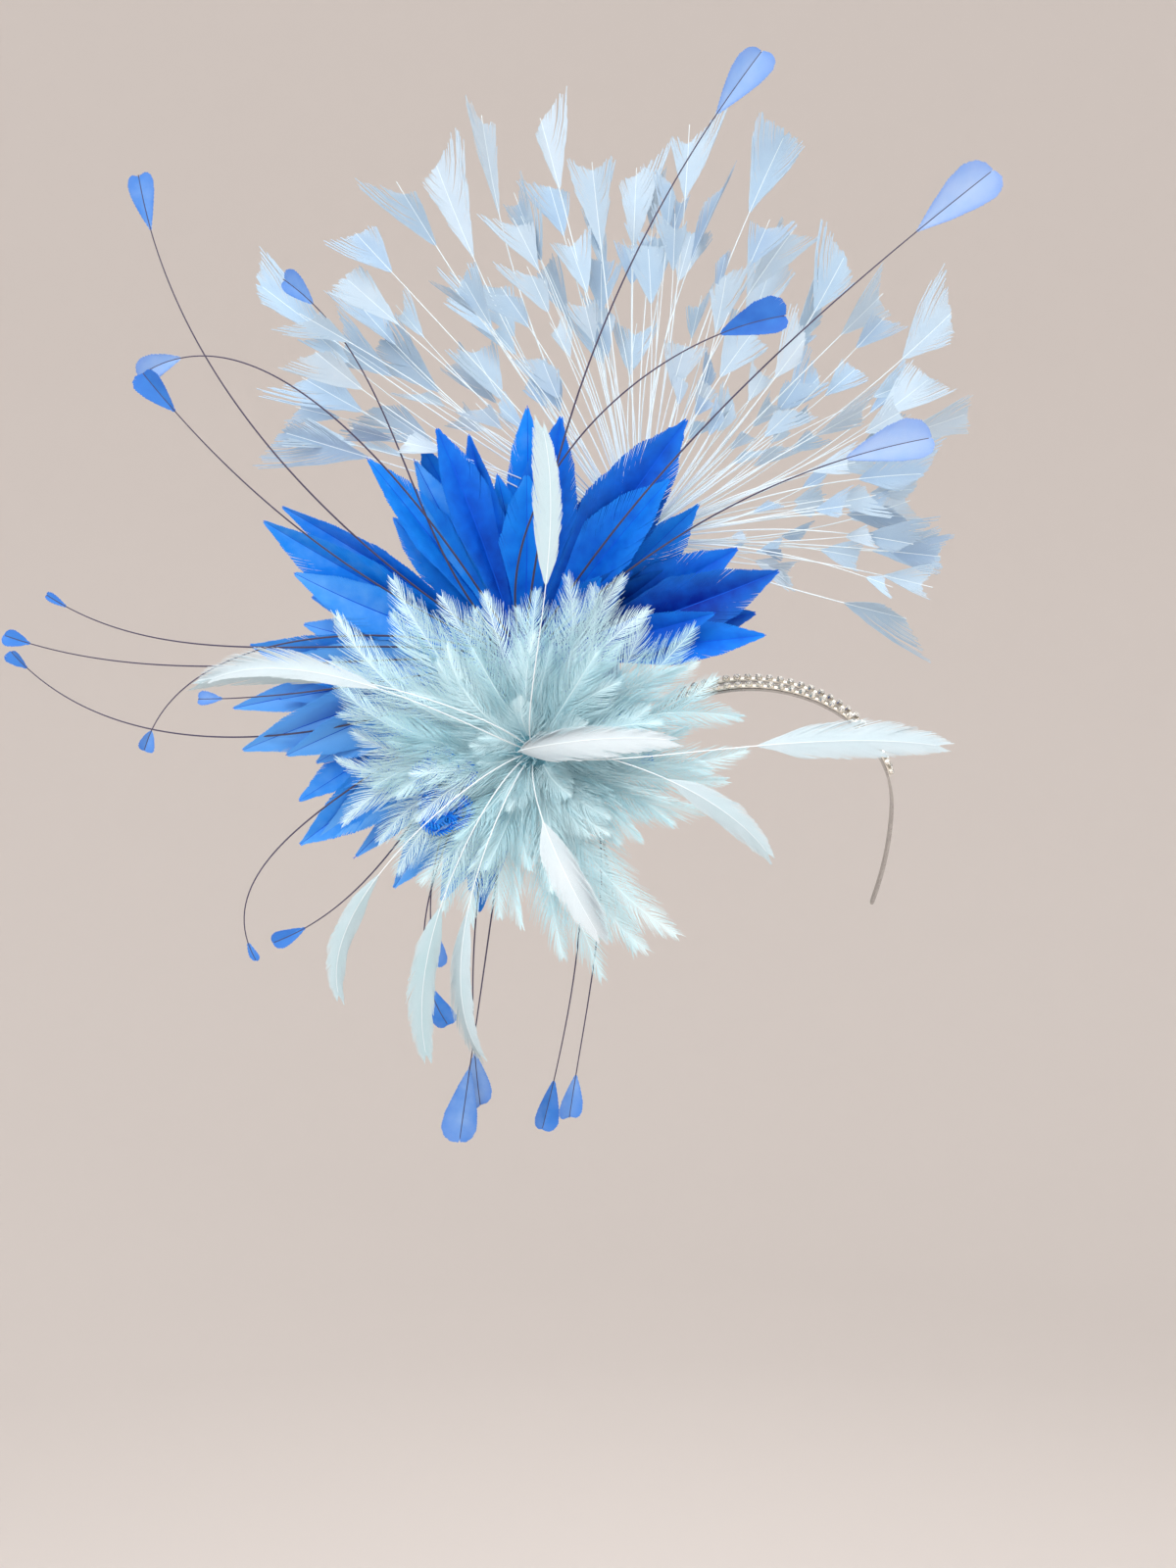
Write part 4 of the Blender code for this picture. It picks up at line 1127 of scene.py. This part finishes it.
def strap_stitches():
    """A running stitch down both edges of the strap."""
    made = []
    top = 0.5 * BAND_THICKNESS + GAP + STRAP_EDGE_SHARE * SADDLE_THICKNESS + STITCH_RADIUS
    for side in (-1.0, 1.0):
        for k in range(8):
            station = SADDLE_ENDS[0] + 1.6 + 3.1 * k
            made.append(thread([band_point(station + 0.5 * i, side * STRAP_STITCH_ROW,
                                           top - 0.0004 * abs(i - 1.5)) for i in range(4)],
                               STITCH_RADIUS))
    return made


def strap_mesh():
    """The strap over the band, a little thinner at its edges, like folded cloth."""
    shape = bmesh.new()
    low = 0.5 * BAND_THICKNESS + GAP
    rings = []
    for i in range(25):
        station = SADDLE_ENDS[0] + (SADDLE_ENDS[1] - SADDLE_ENDS[0]) * i / 24
        ring = [(share, low) for share in (-1.0, -0.5, 0.0, 0.5, 1.0)]
        ring += [(share, low + SADDLE_THICKNESS * (1.0 - 0.2 * share * share))
                 for share in (1.0, 0.5, 0.0, -0.5, -1.0)]
        rings.append([shape.verts.new(band_point(station, SADDLE_HALF_WIDTH * share, out))
                      for share, out in ring])
    skin(shape, rings)
    soften(shape, 0.0004)
    return mesh_from("sinamay_strap", shape, STRAW)


grow("sinamay_strands", woven_strands(), {"Quill Step": 0.0011, "Finish": STRAW},
     ["saucer_base"])
grow("sinamay_binding", binding_spines() + strap_stitches(),
     {"Quill Sides": 8, "Quill Step": 0.0008, "Finish": STRAW}, ["saucer_base"])
keep_piece("sinamay_core", base_core_mesh(), ["saucer_base"])
keep_piece("sinamay_strap", strap_mesh(), ["saucer_base"])

# %% [markdown]
# ## Posts and bindings
#
# Feathers are not glued to a base one by one. They are bundled and bound with thread, and the
# bundle is sewn on. So a close helix of thread covers the rosette's post and the spray's stalk,
# and a spiral covers the ball where the quills meet. Two felt discs hold the ruff's quills.

# %% Bound stalk, bound post and felt discs
THREAD_RADIUS = 0.0006
THREAD_PITCH = 2.05 * THREAD_RADIUS
WINDING = {"Quill Sides": 5, "Quill Step": 0.0015}


def wound(route, radius):
    """A stalk along a route, and a close helix of thread round it."""
    line = [curve_point(route, i / 12) for i in range(13)]
    turns = route_length(route) / THREAD_PITCH
    count = int(turns * 14)
    helix = []
    for i in range(count + 1):
        t = i / count
        along = curve_point(route, min(1.0, t + 0.01)) - curve_point(route, max(0.0, t - 0.01))
        across = along.cross(RIGHT).normalized()
        up = along.normalized().cross(across)
        turn = 2 * math.pi * turns * t
        helix.append(curve_point(route, t)
                     + (across * math.cos(turn) + up * math.sin(turn)) * (radius - THREAD_RADIUS))
    return [thread(line, radius - THREAD_RADIUS, 0.0), thread(helix, THREAD_RADIUS)]


def wound_ball(centre, axis, radius, first=-19.0, last=84.0):
    """A spiral of thread over a ball, from a latitude behind its middle up to its crown."""
    across = axis.orthogonal().normalized()
    up = axis.cross(across)
    turns = math.radians(last - first) * radius / THREAD_PITCH
    count = int(turns * 20)
    line = []
    for i in range(count + 1):
        turn = 2 * math.pi * turns * i / count
        rise = math.radians(first + (last - first) * i / count)
        flat = (across * math.cos(turn) + up * math.sin(turn)) * math.cos(rise)
        line.append(centre + (flat + axis * math.sin(rise)) * (radius - THREAD_RADIUS))
    return thread(line, THREAD_RADIUS)


def bound_head(name, centre, axis, radius, finish, nodes):
    """The domed ball where quills meet, as a core and the thread over it."""
    shape = bmesh.new()
    inner = radius - THREAD_RADIUS
    dome = [(inner * math.cos(math.radians(rise)), inner * math.sin(math.radians(rise)))
            for rise in range(-19, 90, 9)]
    turned(shape, dome, centre, axis)
    keep_piece(name + "_core", mesh_from(name + "_core", shape, finish), nodes)
    grow(name + "_binding", [wound_ball(centre, axis, radius)], {**WINDING, "Finish": finish},
         nodes)


def felt_discs():
    shape = bmesh.new()
    half = 0.5 * RUFF_DISC_THICKNESS
    for centre, radius in zip((RUFF_BACK, RUFF_FRONT), RUFF_RADII):
        turned(shape, ((radius * 0.95, -half), (radius, -half * 0.5), (radius, half * 0.5),
                       (radius * 0.95, half)), centre, SAUCER_FACING, sides=40)
    return mesh_from("ruff_felt_discs", shape, FELT)


CLIMB = (SPRAY_CENTRE - STALK_FOOT).normalized()
STALK_TOP = SPRAY_CENTRE - CLIMB * (SPRAY_HEAD_RADIUS / 3.0 + GAP)
grow("spray_stalk_bound", wound((STALK_FOOT, CLIMB, STALK_TOP, CLIMB), STALK_RADIUS),
     {**WINDING, "Quill Sides": 8, "Finish": SILK}, ["spray_stalk"])
bound_head("spray_head", SPRAY_CENTRE, CLIMB, SPRAY_HEAD_RADIUS, SILK, ["fishtail_spray"])
grow("rosette_post_bound",
     wound((ROSETTE_FOOT, SAUCER_FACING, ROSETTE_CENTRE, FORWARD), ROSETTE_POST_RADIUS),
     {**WINDING, "Quill Sides": 8, "Finish": TEAL_SILK}, ["hackle_rosette"])
bound_head("rosette_head", ROSETTE_CENTRE, FORWARD, ROSETTE_HEAD_RADIUS, TEAL_SILK,
           ["hackle_rosette"])
keep_piece("ruff_felt_discs", felt_discs(), ["royal_ruff_back", "royal_ruff_front"])

# %% [markdown]
# ## The royal ruff
#
# Goose feathers trimmed to a point: a stiff closed vane in which the barbs lie close, like
# reeds in a mat. The barbs here are wider than their spacing, so each laps over the next and
# the vane closes. Every feather is folded a little along its quill, and has its own roll and
# twist, because they are sewn in by hand. One or two smaller feathers stand beside each large
# one and fill the ruff. Each feather's tone carries painted light: the feathers low on the outer
# side are painted lighter and those on top and to the right darker, over a random dye lot.
# Painted shade also darkens every feather towards its root.

# %% Royal petals
ROYAL_REACH = 0.150
PETAL_HALF_WIDTH = 0.0135
PETAL_FORM = ((0.0, 0.22), (0.3, 0.58), (0.56, 1.0), (0.8, 0.66), (1.0, 0.0))
PETAL_SPREAD = 1.1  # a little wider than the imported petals, so that neighbours lap
PETAL_SEAT_SHARE = 0.75  # of its disc's radius
ROYAL_LEAN = 1.9
OUTER_SIDE_FROM = 170  # degrees

# angle, reach, width, lean, sweep
ROYAL_BACK = (
    (147, 0.94, 0.75, 7, 3),
    (132, 0.64, 0.70, 4, 0),
    (115, 0.78, 1.05, 6, 4),
    (89, 0.84, 0.75, 5, 2),
    (63, 0.72, 0.90, 6, -2),
    (42, 0.77, 1.05, 7, 2),
    (28, 0.80, 0.95, 8, 3),
    (163, 0.73, 0.80, 4, 4),
    (189, 0.97, 0.70, 5, 3),
    (229, 0.86, 0.55, 8, -6),
    (251, 0.84, 0.85, 8, -3),
)
ROYAL_FRONT = (
    (151, 0.97, 1.00, 11, -3),
    (127, 0.85, 0.80, 12, 2),
    (110, 0.82, 0.90, 10, 3),
    (81, 0.81, 1.15, 9, 0),
    (56, 0.96, 1.30, 12, -3),
    (20, 0.90, 1.15, 14, 3),
    (7, 0.83, 0.80, 18, 0),
    (-38, 0.58, 0.90, 20, 0),
    (40, 0.50, 0.70, 22, 0),
    (176, 0.90, 1.05, 11, -8),
    (197, 0.97, 1.05, 13, 5),
    (219, 0.95, 1.10, 11, -3),
    (240, 0.86, 1.00, 11, -4),
    (260, 0.84, 0.90, 10, 3),
)
ROYAL_BARBS = {"Barb Spacing": 0.00135, "Barb Width": 0.0013, "Barb Thickness": 0.00022,
               "Barb Segments": 3, "Taper": 0.45, "Shingle": 0.16, "Ragged": 0.02,
               "Splay": 0.008, "Clumping": 0.05, "Clump Scale": 130.0, "Fold": 0.48,
               "Lift": -0.10, "Fluff": 0.03, "Seed": 3, "Finish": ROYAL}


def royal_tone_and_painted_light(angle, hand):
    """Painted light: deep on top and to the right, light low on the outer side, plus a random dye
    lot.
    """
    painted_light_lower_left = 0.5 - 0.5 * math.cos(math.radians(angle - 35))
    return min(1.2, max(0.0, 0.34 + 0.66 * painted_light_lower_left + hand.about(0.24)))


def royal_spine(centre, radius, row, hand):
    angle, reach, wide, lean, sweep = row
    root = on_plane(centre + ray(angle) * (radius * PETAL_SEAT_SHARE), centre)
    tip = centre + ray(angle, lean) * (ROYAL_REACH * reach)
    route = (root, ray(angle - sweep, lean), tip, ray(angle + sweep, lean))
    return spine(route, PETAL_FORM, PETAL_HALF_WIDTH * PETAL_SPREAD * wide, ROYAL_LEAN,
                 gather=2.2, roll=hand.about(26), twist=hand.about(14), quill=0.0006,
                 tone=royal_tone_and_painted_light(angle, hand))


def royal_spines(centre, radius, table, seed):
    """Each feather of the table, with one or, on the outer side, two narrower ones beside it."""
    hand, made = Hand(seed), []
    for row in table:
        angle, reach, wide, lean, sweep = row
        made.append(royal_spine(centre, radius, row, hand))
        for _ in range(2 if angle >= OUTER_SIDE_FROM else 1):
            aside = (angle + hand.about(9.0), reach * hand.about(0.10, 0.84), wide * 0.85,
                     lean + hand.about(5.0), sweep + hand.about(4.0))
            made.append(royal_spine(centre, radius, aside, hand))
    return made


grow("royal_petals_back", royal_spines(RUFF_BACK, RUFF_RADII[0], ROYAL_BACK, 31),
     ROYAL_BARBS, ["royal_ruff_back"])
grow("royal_petals_front", royal_spines(RUFF_FRONT, RUFF_RADII[1], ROYAL_FRONT, 32),
     ROYAL_BARBS, ["royal_ruff_front"])

# %% [markdown]
# ## The hackle rosette
#
# Soft hackles have long loose barbs that do not hook together, so the feather is a plume round a
# thin quill. Each lock of the imported model holds three of them, one along its middle and one
# to each side. The quill ends early and the last barbs run on past it, which gives the wispy
# ends. Painted shade darkens each hackle towards its root, so the heart of the rosette is darker
# than its rim.

# %% Rosette hackles
ROSETTE_REACH = 0.122
HACKLE_HALF_WIDTH = 0.0150
HACKLE_FORM = ((0.0, 0.3), (0.2, 0.8), (0.5, 1.0), (0.8, 0.72), (1.0, 0.1))
HACKLE_LEAN = 1.8
HACKLE_SEAT_SHARE = 0.72  # of the head's radius
KNOT_COUNT = 46

# angle, reach, width, lean, sweep
ROSETTE_LOCKS = (
    (3, 0.92, 1.00, 17, -4),
    (22, 0.78, 1.10, 16, 3),
    (41, 0.86, 1.10, 14, 5),
    (61, 0.79, 1.15, 11, 6),
    (81, 0.75, 1.15, 8, 3),
    (104, 0.66, 1.10, 6, -3),
    (127, 0.86, 1.10, 5, -4),
    (144, 0.93, 1.10, 4, -5),
    (162, 0.87, 1.10, 4, -6),
    (180, 0.80, 1.10, 5, -6),
    (199, 0.78, 1.10, 6, 4),
    (222, 0.72, 1.10, 7, 5),
    (244, 0.76, 1.15, 8, 4),
    (266, 0.74, 1.15, 10, 3),
    (285, 0.92, 1.00, 12, 4),
    (303, 0.98, 1.00, 15, 6),
    (323, 0.62, 1.15, 20, 4),
    (344, 0.78, 1.15, 19, -4),
    (12, 0.62, 1.10, 31, 0),
    (50, 0.60, 1.10, 27, 4),
    (88, 0.56, 1.10, 22, 0),
    (125, 0.60, 1.10, 20, -4),
    (163, 0.62, 1.10, 20, -4),
    (200, 0.60, 1.10, 22, 4),
    (238, 0.56, 1.10, 24, 4),
    (276, 0.58, 1.10, 27, 4),
    (314, 0.50, 1.10, 33, 0),
    (30, 0.36, 0.95, 46, 0),
    (102, 0.34, 0.95, 40, 0),
    (174, 0.34, 0.95, 40, 0),
    (246, 0.34, 0.95, 42, 0),
    (318, 0.34, 0.95, 48, 0),
)
HACKLE_BARBS = {"Barb Spacing": 0.00078, "Barb Width": 0.00034, "Barb Thickness": 0.00020,
                "Barb Segments": 3, "Taper": 0.75, "Shingle": 0.0, "Ragged": 0.36,
                "Splay": 0.09, "Clumping": 0.26, "Clump Scale": 150.0, "Fold": 0.12,
                "Lift": 0.06, "Fluff": 0.42, "Seed": 5, "Finish": HACKLE}


def hackle_spines(row, hand):
    """Three hackles in one lock: one down the middle and one to each side."""
    angle, reach, wide, lean, sweep = row
    made = []
    for aside, share in ((0.0, 1.0), (-9.0, 0.88), (9.0, 0.92)):
        turned_to = angle + aside + hand.about(3.0)
        tilt = lean + hand.about(3.0)
        along = ray(turned_to, tilt)
        root = ROSETTE_CENTRE + along * (ROSETTE_HEAD_RADIUS * HACKLE_SEAT_SHARE)
        tip = ROSETTE_CENTRE + along * (ROSETTE_REACH * reach * share * hand.about(0.06, 1.0))
        bow = sweep + hand.about(26.0)
        route = (root, ray(turned_to - bow, tilt + 6), tip, ray(turned_to + bow, tilt - 8))
        made.append(spine(route, HACKLE_FORM, HACKLE_HALF_WIDTH * wide, HACKLE_LEAN, end=0.96,
                          gather=0.7, roll=hand.about(45), twist=hand.about(35), quill=0.0004,
                          fade=0.2, tone=hand.about(0.28, 0.70)))
    return made


def knot_spines(hand):
    """Clipped ends that crowd the heart of the rosette."""
    made = []
    for _ in range(KNOT_COUNT):
        tilt, angle = hand.about(32.0, 56.0), hand.about(180.0)
        along = ray(angle, tilt)
        root = ROSETTE_CENTRE + along * (ROSETTE_HEAD_RADIUS * 0.8)
        tip = root + along * hand.about(0.003, 0.010) + ray(hand.about(180.0)) * 0.003
        made.append(spine((root, along, tip, ray(angle + hand.about(60.0), tilt)), HACKLE_FORM,
                          0.0026, 1.6, end=0.9, roll=hand.about(90), quill=0.0003, fade=0.5,
                          tone=hand.about(0.15, 0.15), steps=8))
    return made


HACKLE_HAND = Hand(41)
for part, rows in (("upper", ROSETTE_LOCKS[:9]), ("lower", ROSETTE_LOCKS[9:18]),
                   ("inner", ROSETTE_LOCKS[18:])):
    grow("rosette_hackles_" + part,
         [made for row in rows for made in hackle_spines(row, HACKLE_HAND)],
         HACKLE_BARBS, ["hackle_rosette"])
grow("rosette_knot", knot_spines(Hand(42)),
     {**HACKLE_BARBS, "Barb Spacing": 0.0012, "Quill Step": 0.002}, ["hackle_rosette"])

# %% [markdown]
# ## Curled strands
#
# A few royal strands come up between the hackles low on the outer side and curl over. On a real
# one each is drawn over a blade like gift ribbon. Here the end of the strand winds inwards in a
# spiral, and short barbs along it make it as broad and soft as ribbon.

# %% Royal curls
CURL_COUNT = 11
CURL_RADIUS = 0.0084
CURL_MIDDLE = ROSETTE_CENTRE + ray(202, 15) * 0.052
CURL_BARB = 0.0022
CURL_TURNS = 1.35
CURL_TIGHTENING = 0.55  # share of its radius that the spiral loses
CURL_RISE = 0.004
CURL_STEPS = 30


def curl_spine(hand):
    """Up through the hackles from the ruff, then a spiral that tightens."""
    start = RUFF_FRONT + ray(hand.about(16.0, 226.0), 20) * (RUFF_RADII[1] * 1.2)
    bend = CURL_MIDDLE + ray(hand.about(180.0)) * hand.about(0.006, 0.009)
    heading, way = hand.about(50.0, 205.0), 1.0 if hand.about(1.0) > 0.0 else -1.0
    line = [curve_point((start, ray(225, 25), bend, ray(heading, 25)), i / 10) for i in range(10)]
    ahead, aside = ray(heading), ray(heading + 90.0 * way)
    size = CURL_RADIUS * hand.about(0.3, 1.0)
    for i in range(CURL_STEPS + 1):
        turn = 2 * math.pi * CURL_TURNS * i / CURL_STEPS
        flat = ahead * math.sin(turn) - aside * math.cos(turn)
        line.append(bend + aside * size
                    + flat * (size * (1.0 - CURL_TIGHTENING * i / CURL_STEPS))
                    + FORWARD * (CURL_RISE * i / CURL_STEPS))
    rows = thread(line, 0.0005, hand.about(0.3, 0.75))
    for row in rows:
        row["vane"] = CURL_BARB
    return rows


CURL_HAND = Hand(44)
grow("royal_curls", [curl_spine(CURL_HAND) for _ in range(CURL_COUNT)],
     {**ROYAL_BARBS, "Barb Spacing": 0.0014, "Barb Width": 0.0011, "Quill Step": 0.0012},
     ["royal_ruff_front"])

# %% [markdown]
# ## The fishtail spray
#
# These are stripped of their barbs but for about the last fifth, which is trimmed to a V or on
# the slant. So each is a bare pale quill that opens into a thin fan. Nothing tapers, because
# the ends are cut. Each fan is turned its own way round its quill, some lean to one side, and
# smaller ones fill the gaps between the long ones.

# %% Fishtail feathers
SPRAY_REACH = 0.225
FISHTAIL_HALF_WIDTH = 0.0160
FISHTAIL_BLADE = 0.22
FISHTAIL_FORM = ((0.0, 0.0), (0.5, 0.55), (1.0, 1.0))
FISHTAIL_LEAN = 2.0
FISHTAIL_SEAT_SHARE = 0.6  # of the head's radius
FILLER_COUNT = 88
LOW_FILLER_REACH = 0.66  # share of a high one's, as the spray is shorter on the wearer's left

# angle, reach, lean
SPRAY_OUTER = (
    (146, 1.00, 6),
    (154, 0.84, -3),
    (163, 0.82, 3),
    (139, 0.88, -6),
    (124, 0.95, 4),
    (118, 0.97, -7),
    (110, 1.00, 2),
    (103, 0.97, -4),
    (97, 0.84, 7),
    (90, 0.84, -5),
    (83, 0.92, 3),
    (76, 0.82, -8),
    (70, 0.94, 4),
    (63, 0.78, -3),
    (54, 0.77, 5),
    (45, 0.79, -6),
    (36, 0.86, 2),
    (29, 0.76, -7),
    (21, 0.78, 4),
    (13, 0.66, -3),
    (5, 0.60, 5),
    (-3, 0.69, -4),
    (-9, 0.67, 2),
    (-16, 0.63, 7),
)
# count, first angle, last angle, least reach, most reach, lean
SPRAY_TIERS = (
    (15, 158, -8, 0.60, 0.76, -14),
    (6, 150, 84, 0.50, 0.66, -26),
    (7, 66, -6, 0.46, 0.62, 14),
)
FISHTAIL_BARBS = {"Barb Spacing": 0.00105, "Barb Width": 0.00105, "Barb Thickness": 0.00012,
                  "Barb Segments": 3, "Taper": 0.45, "Shingle": 0.12, "Ragged": 0.13,
                  "Splay": 0.025, "Clumping": 0.14, "Clump Scale": 300.0, "Fold": 0.16,
                  "Lift": 0.04, "Fluff": 0.08, "Seed": 8, "Finish": FISHTAIL}


def spray_rows(hand):
    """Angle, reach, lean and size of every feather: the two tables, then the small fillers."""
    rows = [(*row, 1.0) for row in SPRAY_OUTER]
    for count, first, last, least, most, lean in SPRAY_TIERS:
        for i in range(count):
            angle = first + (last - first) * (i + 0.5) / count
            share = least + (most - least) * (0.5 + 0.5 * math.sin(2.4 * i))
            rows.append((angle, share, lean + 6.0 * math.sin(1.7 * i), 1.0))
    for i in range(FILLER_COUNT):
        angle = 164.0 - 180.0 * (i + 0.5) / FILLER_COUNT + hand.about(4.0)
        crown = LOW_FILLER_REACH + (1.0 - LOW_FILLER_REACH) * min(1.0, max(0.0, angle) / 90.0)
        share = hand.about(0.30, 0.66)
        rows.append((angle, crown * share, hand.about(16.0), hand.about(0.15, 1.12 - 0.5 * share)))
    return rows


def fishtail_spine(row, hand):
    angle, reach, lean, size = row
    along = ray(angle, lean)
    root = SPRAY_CENTRE + along * (SPRAY_HEAD_RADIUS * FISHTAIL_SEAT_SHARE)
    tip = SPRAY_CENTRE + along * (SPRAY_REACH * reach)
    bow, nod = hand.about(13.0), hand.about(8.0)
    route = (root, ray(angle - bow, lean + nod), tip, ray(angle + bow, lean - nod))
    blade = FISHTAIL_BLADE * size * hand.about(0.2, 1.0)
    return spine(route, FISHTAIL_FORM, FISHTAIL_HALF_WIDTH * size * hand.about(0.15, 1.0),
                 FISHTAIL_LEAN, start=1.0 - blade, end=1.0 - 0.08 * blade,
                 notch=hand.about(0.22, 0.14), roll=hand.about(55), twist=hand.about(30),
                 bias=hand.about(0.45), quill=0.0005 * (0.5 + 0.5 * size), fade=0.4,
                 tone=hand.about(0.5, 0.5), steps=60)


SPRAY_HAND = Hand(51)
grow("fishtail_feathers", [fishtail_spine(row, SPRAY_HAND) for row in spray_rows(SPRAY_HAND)],
     FISHTAIL_BARBS, ["fishtail_spray"])

# %% [markdown]
# ## Arrow tips
#
# Long quills stripped all the way but for a small spoon of vane at the tip. They rise out of
# the ruff between the petals and bow over under their own spring. The quills are dyed dark,
# the spoons cornflower blue in lighter and darker dye lots, and each spoon shows its rib.

# %% Arrow-tip feathers
ARROW_REACH = 0.317
ARROW_BLADE_LENGTH = 0.044
ARROW_QUILL_RADIUS = 0.0005
ARROW_SEAT_SHARE = 0.72
ARROW_LEAN = 1.5
ARROW_FORM = ((0.0, 0.05), (0.3, 0.52), (0.6, 0.90), (0.8, 1.0), (0.93, 0.82), (1.0, 0.40))

# leave angle, tip angle, tip reach, tip forward, arrive angle, blade length, blade half width,
# dye
ARROWS = (
    (84, 68.5, 0.985, 0.10, 52, 0.84, 0.20, 0.75),
    (58, 46.4, 1.000, 0.22, 38, 1.00, 0.25, 0.95),
    (100, 52.8, 0.644, 0.24, 8, 0.78, 0.20, 0.15),
    (44, 29.2, 0.691, 0.23, 10, 0.97, 0.24, 0.95),
    (146, 127.8, 0.924, 0.14, 98, 0.62, 0.14, 0.45),
    (120, 142.9, 0.713, 0.15, 215, 0.60, 0.16, 0.75),
    (154, 142.0, 0.707, 0.19, 128, 0.54, 0.15, 0.25),
    (134, 121.9, 0.686, 0.07, 146, 0.46, 0.13, 0.55),
    (168, 171.4, 0.718, 0.16, 146, 0.27, 0.05, 0.30),
    (176, 176.8, 0.789, 0.09, 160, 0.30, 0.10, 0.35),
    (205, 178.5, 0.774, 0.11, 130, 0.26, 0.09, 0.30),
    (162, 192.7, 0.585, 0.13, 255, 0.26, 0.10, 0.45),
    (186, 186.0, 0.494, 0.12, 180, 0.28, 0.09, 0.50),
    (222, 227.9, 0.597, 0.17, 300, 0.26, 0.05, 0.35),
    (232, 228.1, 0.571, 0.11, 200, 0.40, 0.10, 0.30),
    (240, 254.3, 0.480, 0.11, 285, 0.55, 0.14, 0.50),
    (249, 258.4, 0.555, 0.16, 305, 0.53, 0.14, 0.40),
    (264, 262.4, 0.742, 0.10, 262, 0.83, 0.20, 0.55),
    (256, 264.5, 0.689, 0.08, 278, 0.60, 0.18, 0.65),
    (300, 272.3, 0.720, 0.09, 256, 0.58, 0.14, 0.40),
    (313, 275.8, 0.702, 0.11, 262, 0.50, 0.14, 0.50),
)
ARROW_BARBS = {"Barb Spacing": 0.00095, "Barb Width": 0.0014, "Barb Thickness": 0.00015,
               "Barb Segments": 3, "Taper": 0.3, "Shingle": 0.12, "Ragged": 0.02,
               "Splay": 0.008, "Clumping": 0.02, "Clump Scale": 150.0, "Fold": 0.35,
               "Lift": 0.05, "Quill Step": 0.003, "Seed": 13, "Finish": ARROW}


def arrow_spine(row, hand):
    leave_angle, tip_angle, reach, forward, arrive_angle, blade, wide, dye = row
    clearance = 0.5 * RUFF_DISC_THICKNESS + GAP + 1.5 * ARROW_QUILL_RADIUS
    root = on_plane(RUFF_FRONT + ray(leave_angle) * (RUFF_RADII[1] * ARROW_SEAT_SHARE),
                    RUFF_FRONT, clearance)
    tip = RUFF_FRONT + ray(tip_angle) * (ARROW_REACH * reach) + FORWARD * (ARROW_REACH * forward)
    route = (root, ray(leave_angle, 30), tip, ray(arrive_angle, 4))
    share = ARROW_BLADE_LENGTH * blade / route_length(route)
    return spine(route, ARROW_FORM, ARROW_BLADE_LENGTH * wide, ARROW_LEAN, start=1.0 - share,
                 end=1.0 - 0.04 * share, notch=hand.about(0.05, 0.03), gather=1.2,
                 roll=hand.about(30), bias=hand.about(0.2), quill=0.0006, fade=0.45, tone=dye,
                 steps=150)


ARROW_HAND = Hand(61)
grow("arrow_tip_feathers", [arrow_spine(row, ARROW_HAND) for row in ARROWS], ARROW_BARBS,
     ["arrow_tip_%02d" % (i + 1) for i in range(len(ARROWS))])

# %% [markdown]
# ## Coque feathers
#
# Cock tail feathers, bleached white and stripped at the root. Their barbs are long, fine and
# silky, so the vane is closed but its end parts into a few strands. The tip hooks over. They
# leave the rosette's head in front of all else.

# %% Coque feathers
COQUE_REACH = 0.200
COQUE_HALF_WIDTH = 0.0085
COQUE_LEAN = 2.6
COQUE_FORM = ((0.0, 0.08), (0.28, 0.85), (0.6, 1.0), (0.85, 0.6), (1.0, 0.1))

# leave angle, tip angle, tip reach, tip forward, arrive angle, blade share, half width, dye
COQUES = (
    (100, 88.8, 0.80, 0.20, 108, 0.46, 0.90, 0.3),
    (150, 167.6, 0.79, 0.26, 212, 0.50, 0.95, 0.6),
    (128, 169.0, 0.83, 0.16, 205, 0.44, 0.80, 0.3),
    (172, 6.0, 0.36, 0.24, 344, 0.84, 1.05, 0.8),
    (20, 337.1, 0.61, 0.30, 300, 0.46, 0.85, 0.4),
    (352, 1.7, 0.98, 0.30, 348, 0.42, 1.15, 0.5),
    (190, 232.7, 0.73, 0.24, 292, 0.42, 0.75, 0.2),
    (212, 251.9, 0.77, 0.22, 288, 0.46, 0.85, 0.1),
    (232, 262.1, 0.72, 0.28, 310, 0.48, 0.85, 0.3),
    (268, 292.3, 0.45, 0.40, 300, 0.62, 1.15, 0.8),
)
COQUE_BARBS = {"Barb Spacing": 0.00080, "Barb Width": 0.0010, "Barb Thickness": 0.00014,
               "Barb Segments": 4, "Taper": 0.75, "Shingle": 0.10, "Ragged": 0.12,
               "Splay": 0.02, "Clumping": 0.16, "Clump Scale": 150.0, "Fold": -0.22,
               "Lift": -0.12, "Fluff": 0.16, "Seed": 17, "Finish": COQUE}


def coque_spine(row, hand):
    leave_angle, tip_angle, reach, forward, arrive_angle, blade, wide, dye = row
    leave = ray(leave_angle, 66)
    root = ROSETTE_CENTRE + leave * (ROSETTE_HEAD_RADIUS + 3 * GAP)
    tip = (ROSETTE_CENTRE + ray(tip_angle) * (COQUE_REACH * reach)
           + FORWARD * (COQUE_REACH * forward))
    return spine((root, leave, tip, ray(arrive_angle, -8)), COQUE_FORM, COQUE_HALF_WIDTH * wide,
                 COQUE_LEAN, start=1.0 - blade, end=1.0 - 0.12 * blade, gather=0.9,
                 roll=hand.about(25), twist=hand.about(25), bias=hand.about(0.35),
                 quill=0.00038, fade=0.35, tone=dye, steps=70)


COQUE_HAND = Hand(71)
grow("coque_feathers", [coque_spine(row, COQUE_HAND) for row in COQUES], COQUE_BARBS,
     ["coque_plume_%02d" % (i + 1) for i in range(len(COQUES))])

# %% Keep the sizes and print them
VISUAL_BOX = [list(corner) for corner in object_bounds()]
for label, box in (("CAD", CAD_BOX), ("dressed", VISUAL_BOX)):
    print(label, "box", [[round(value, 4) for value in corner] for corner in box])
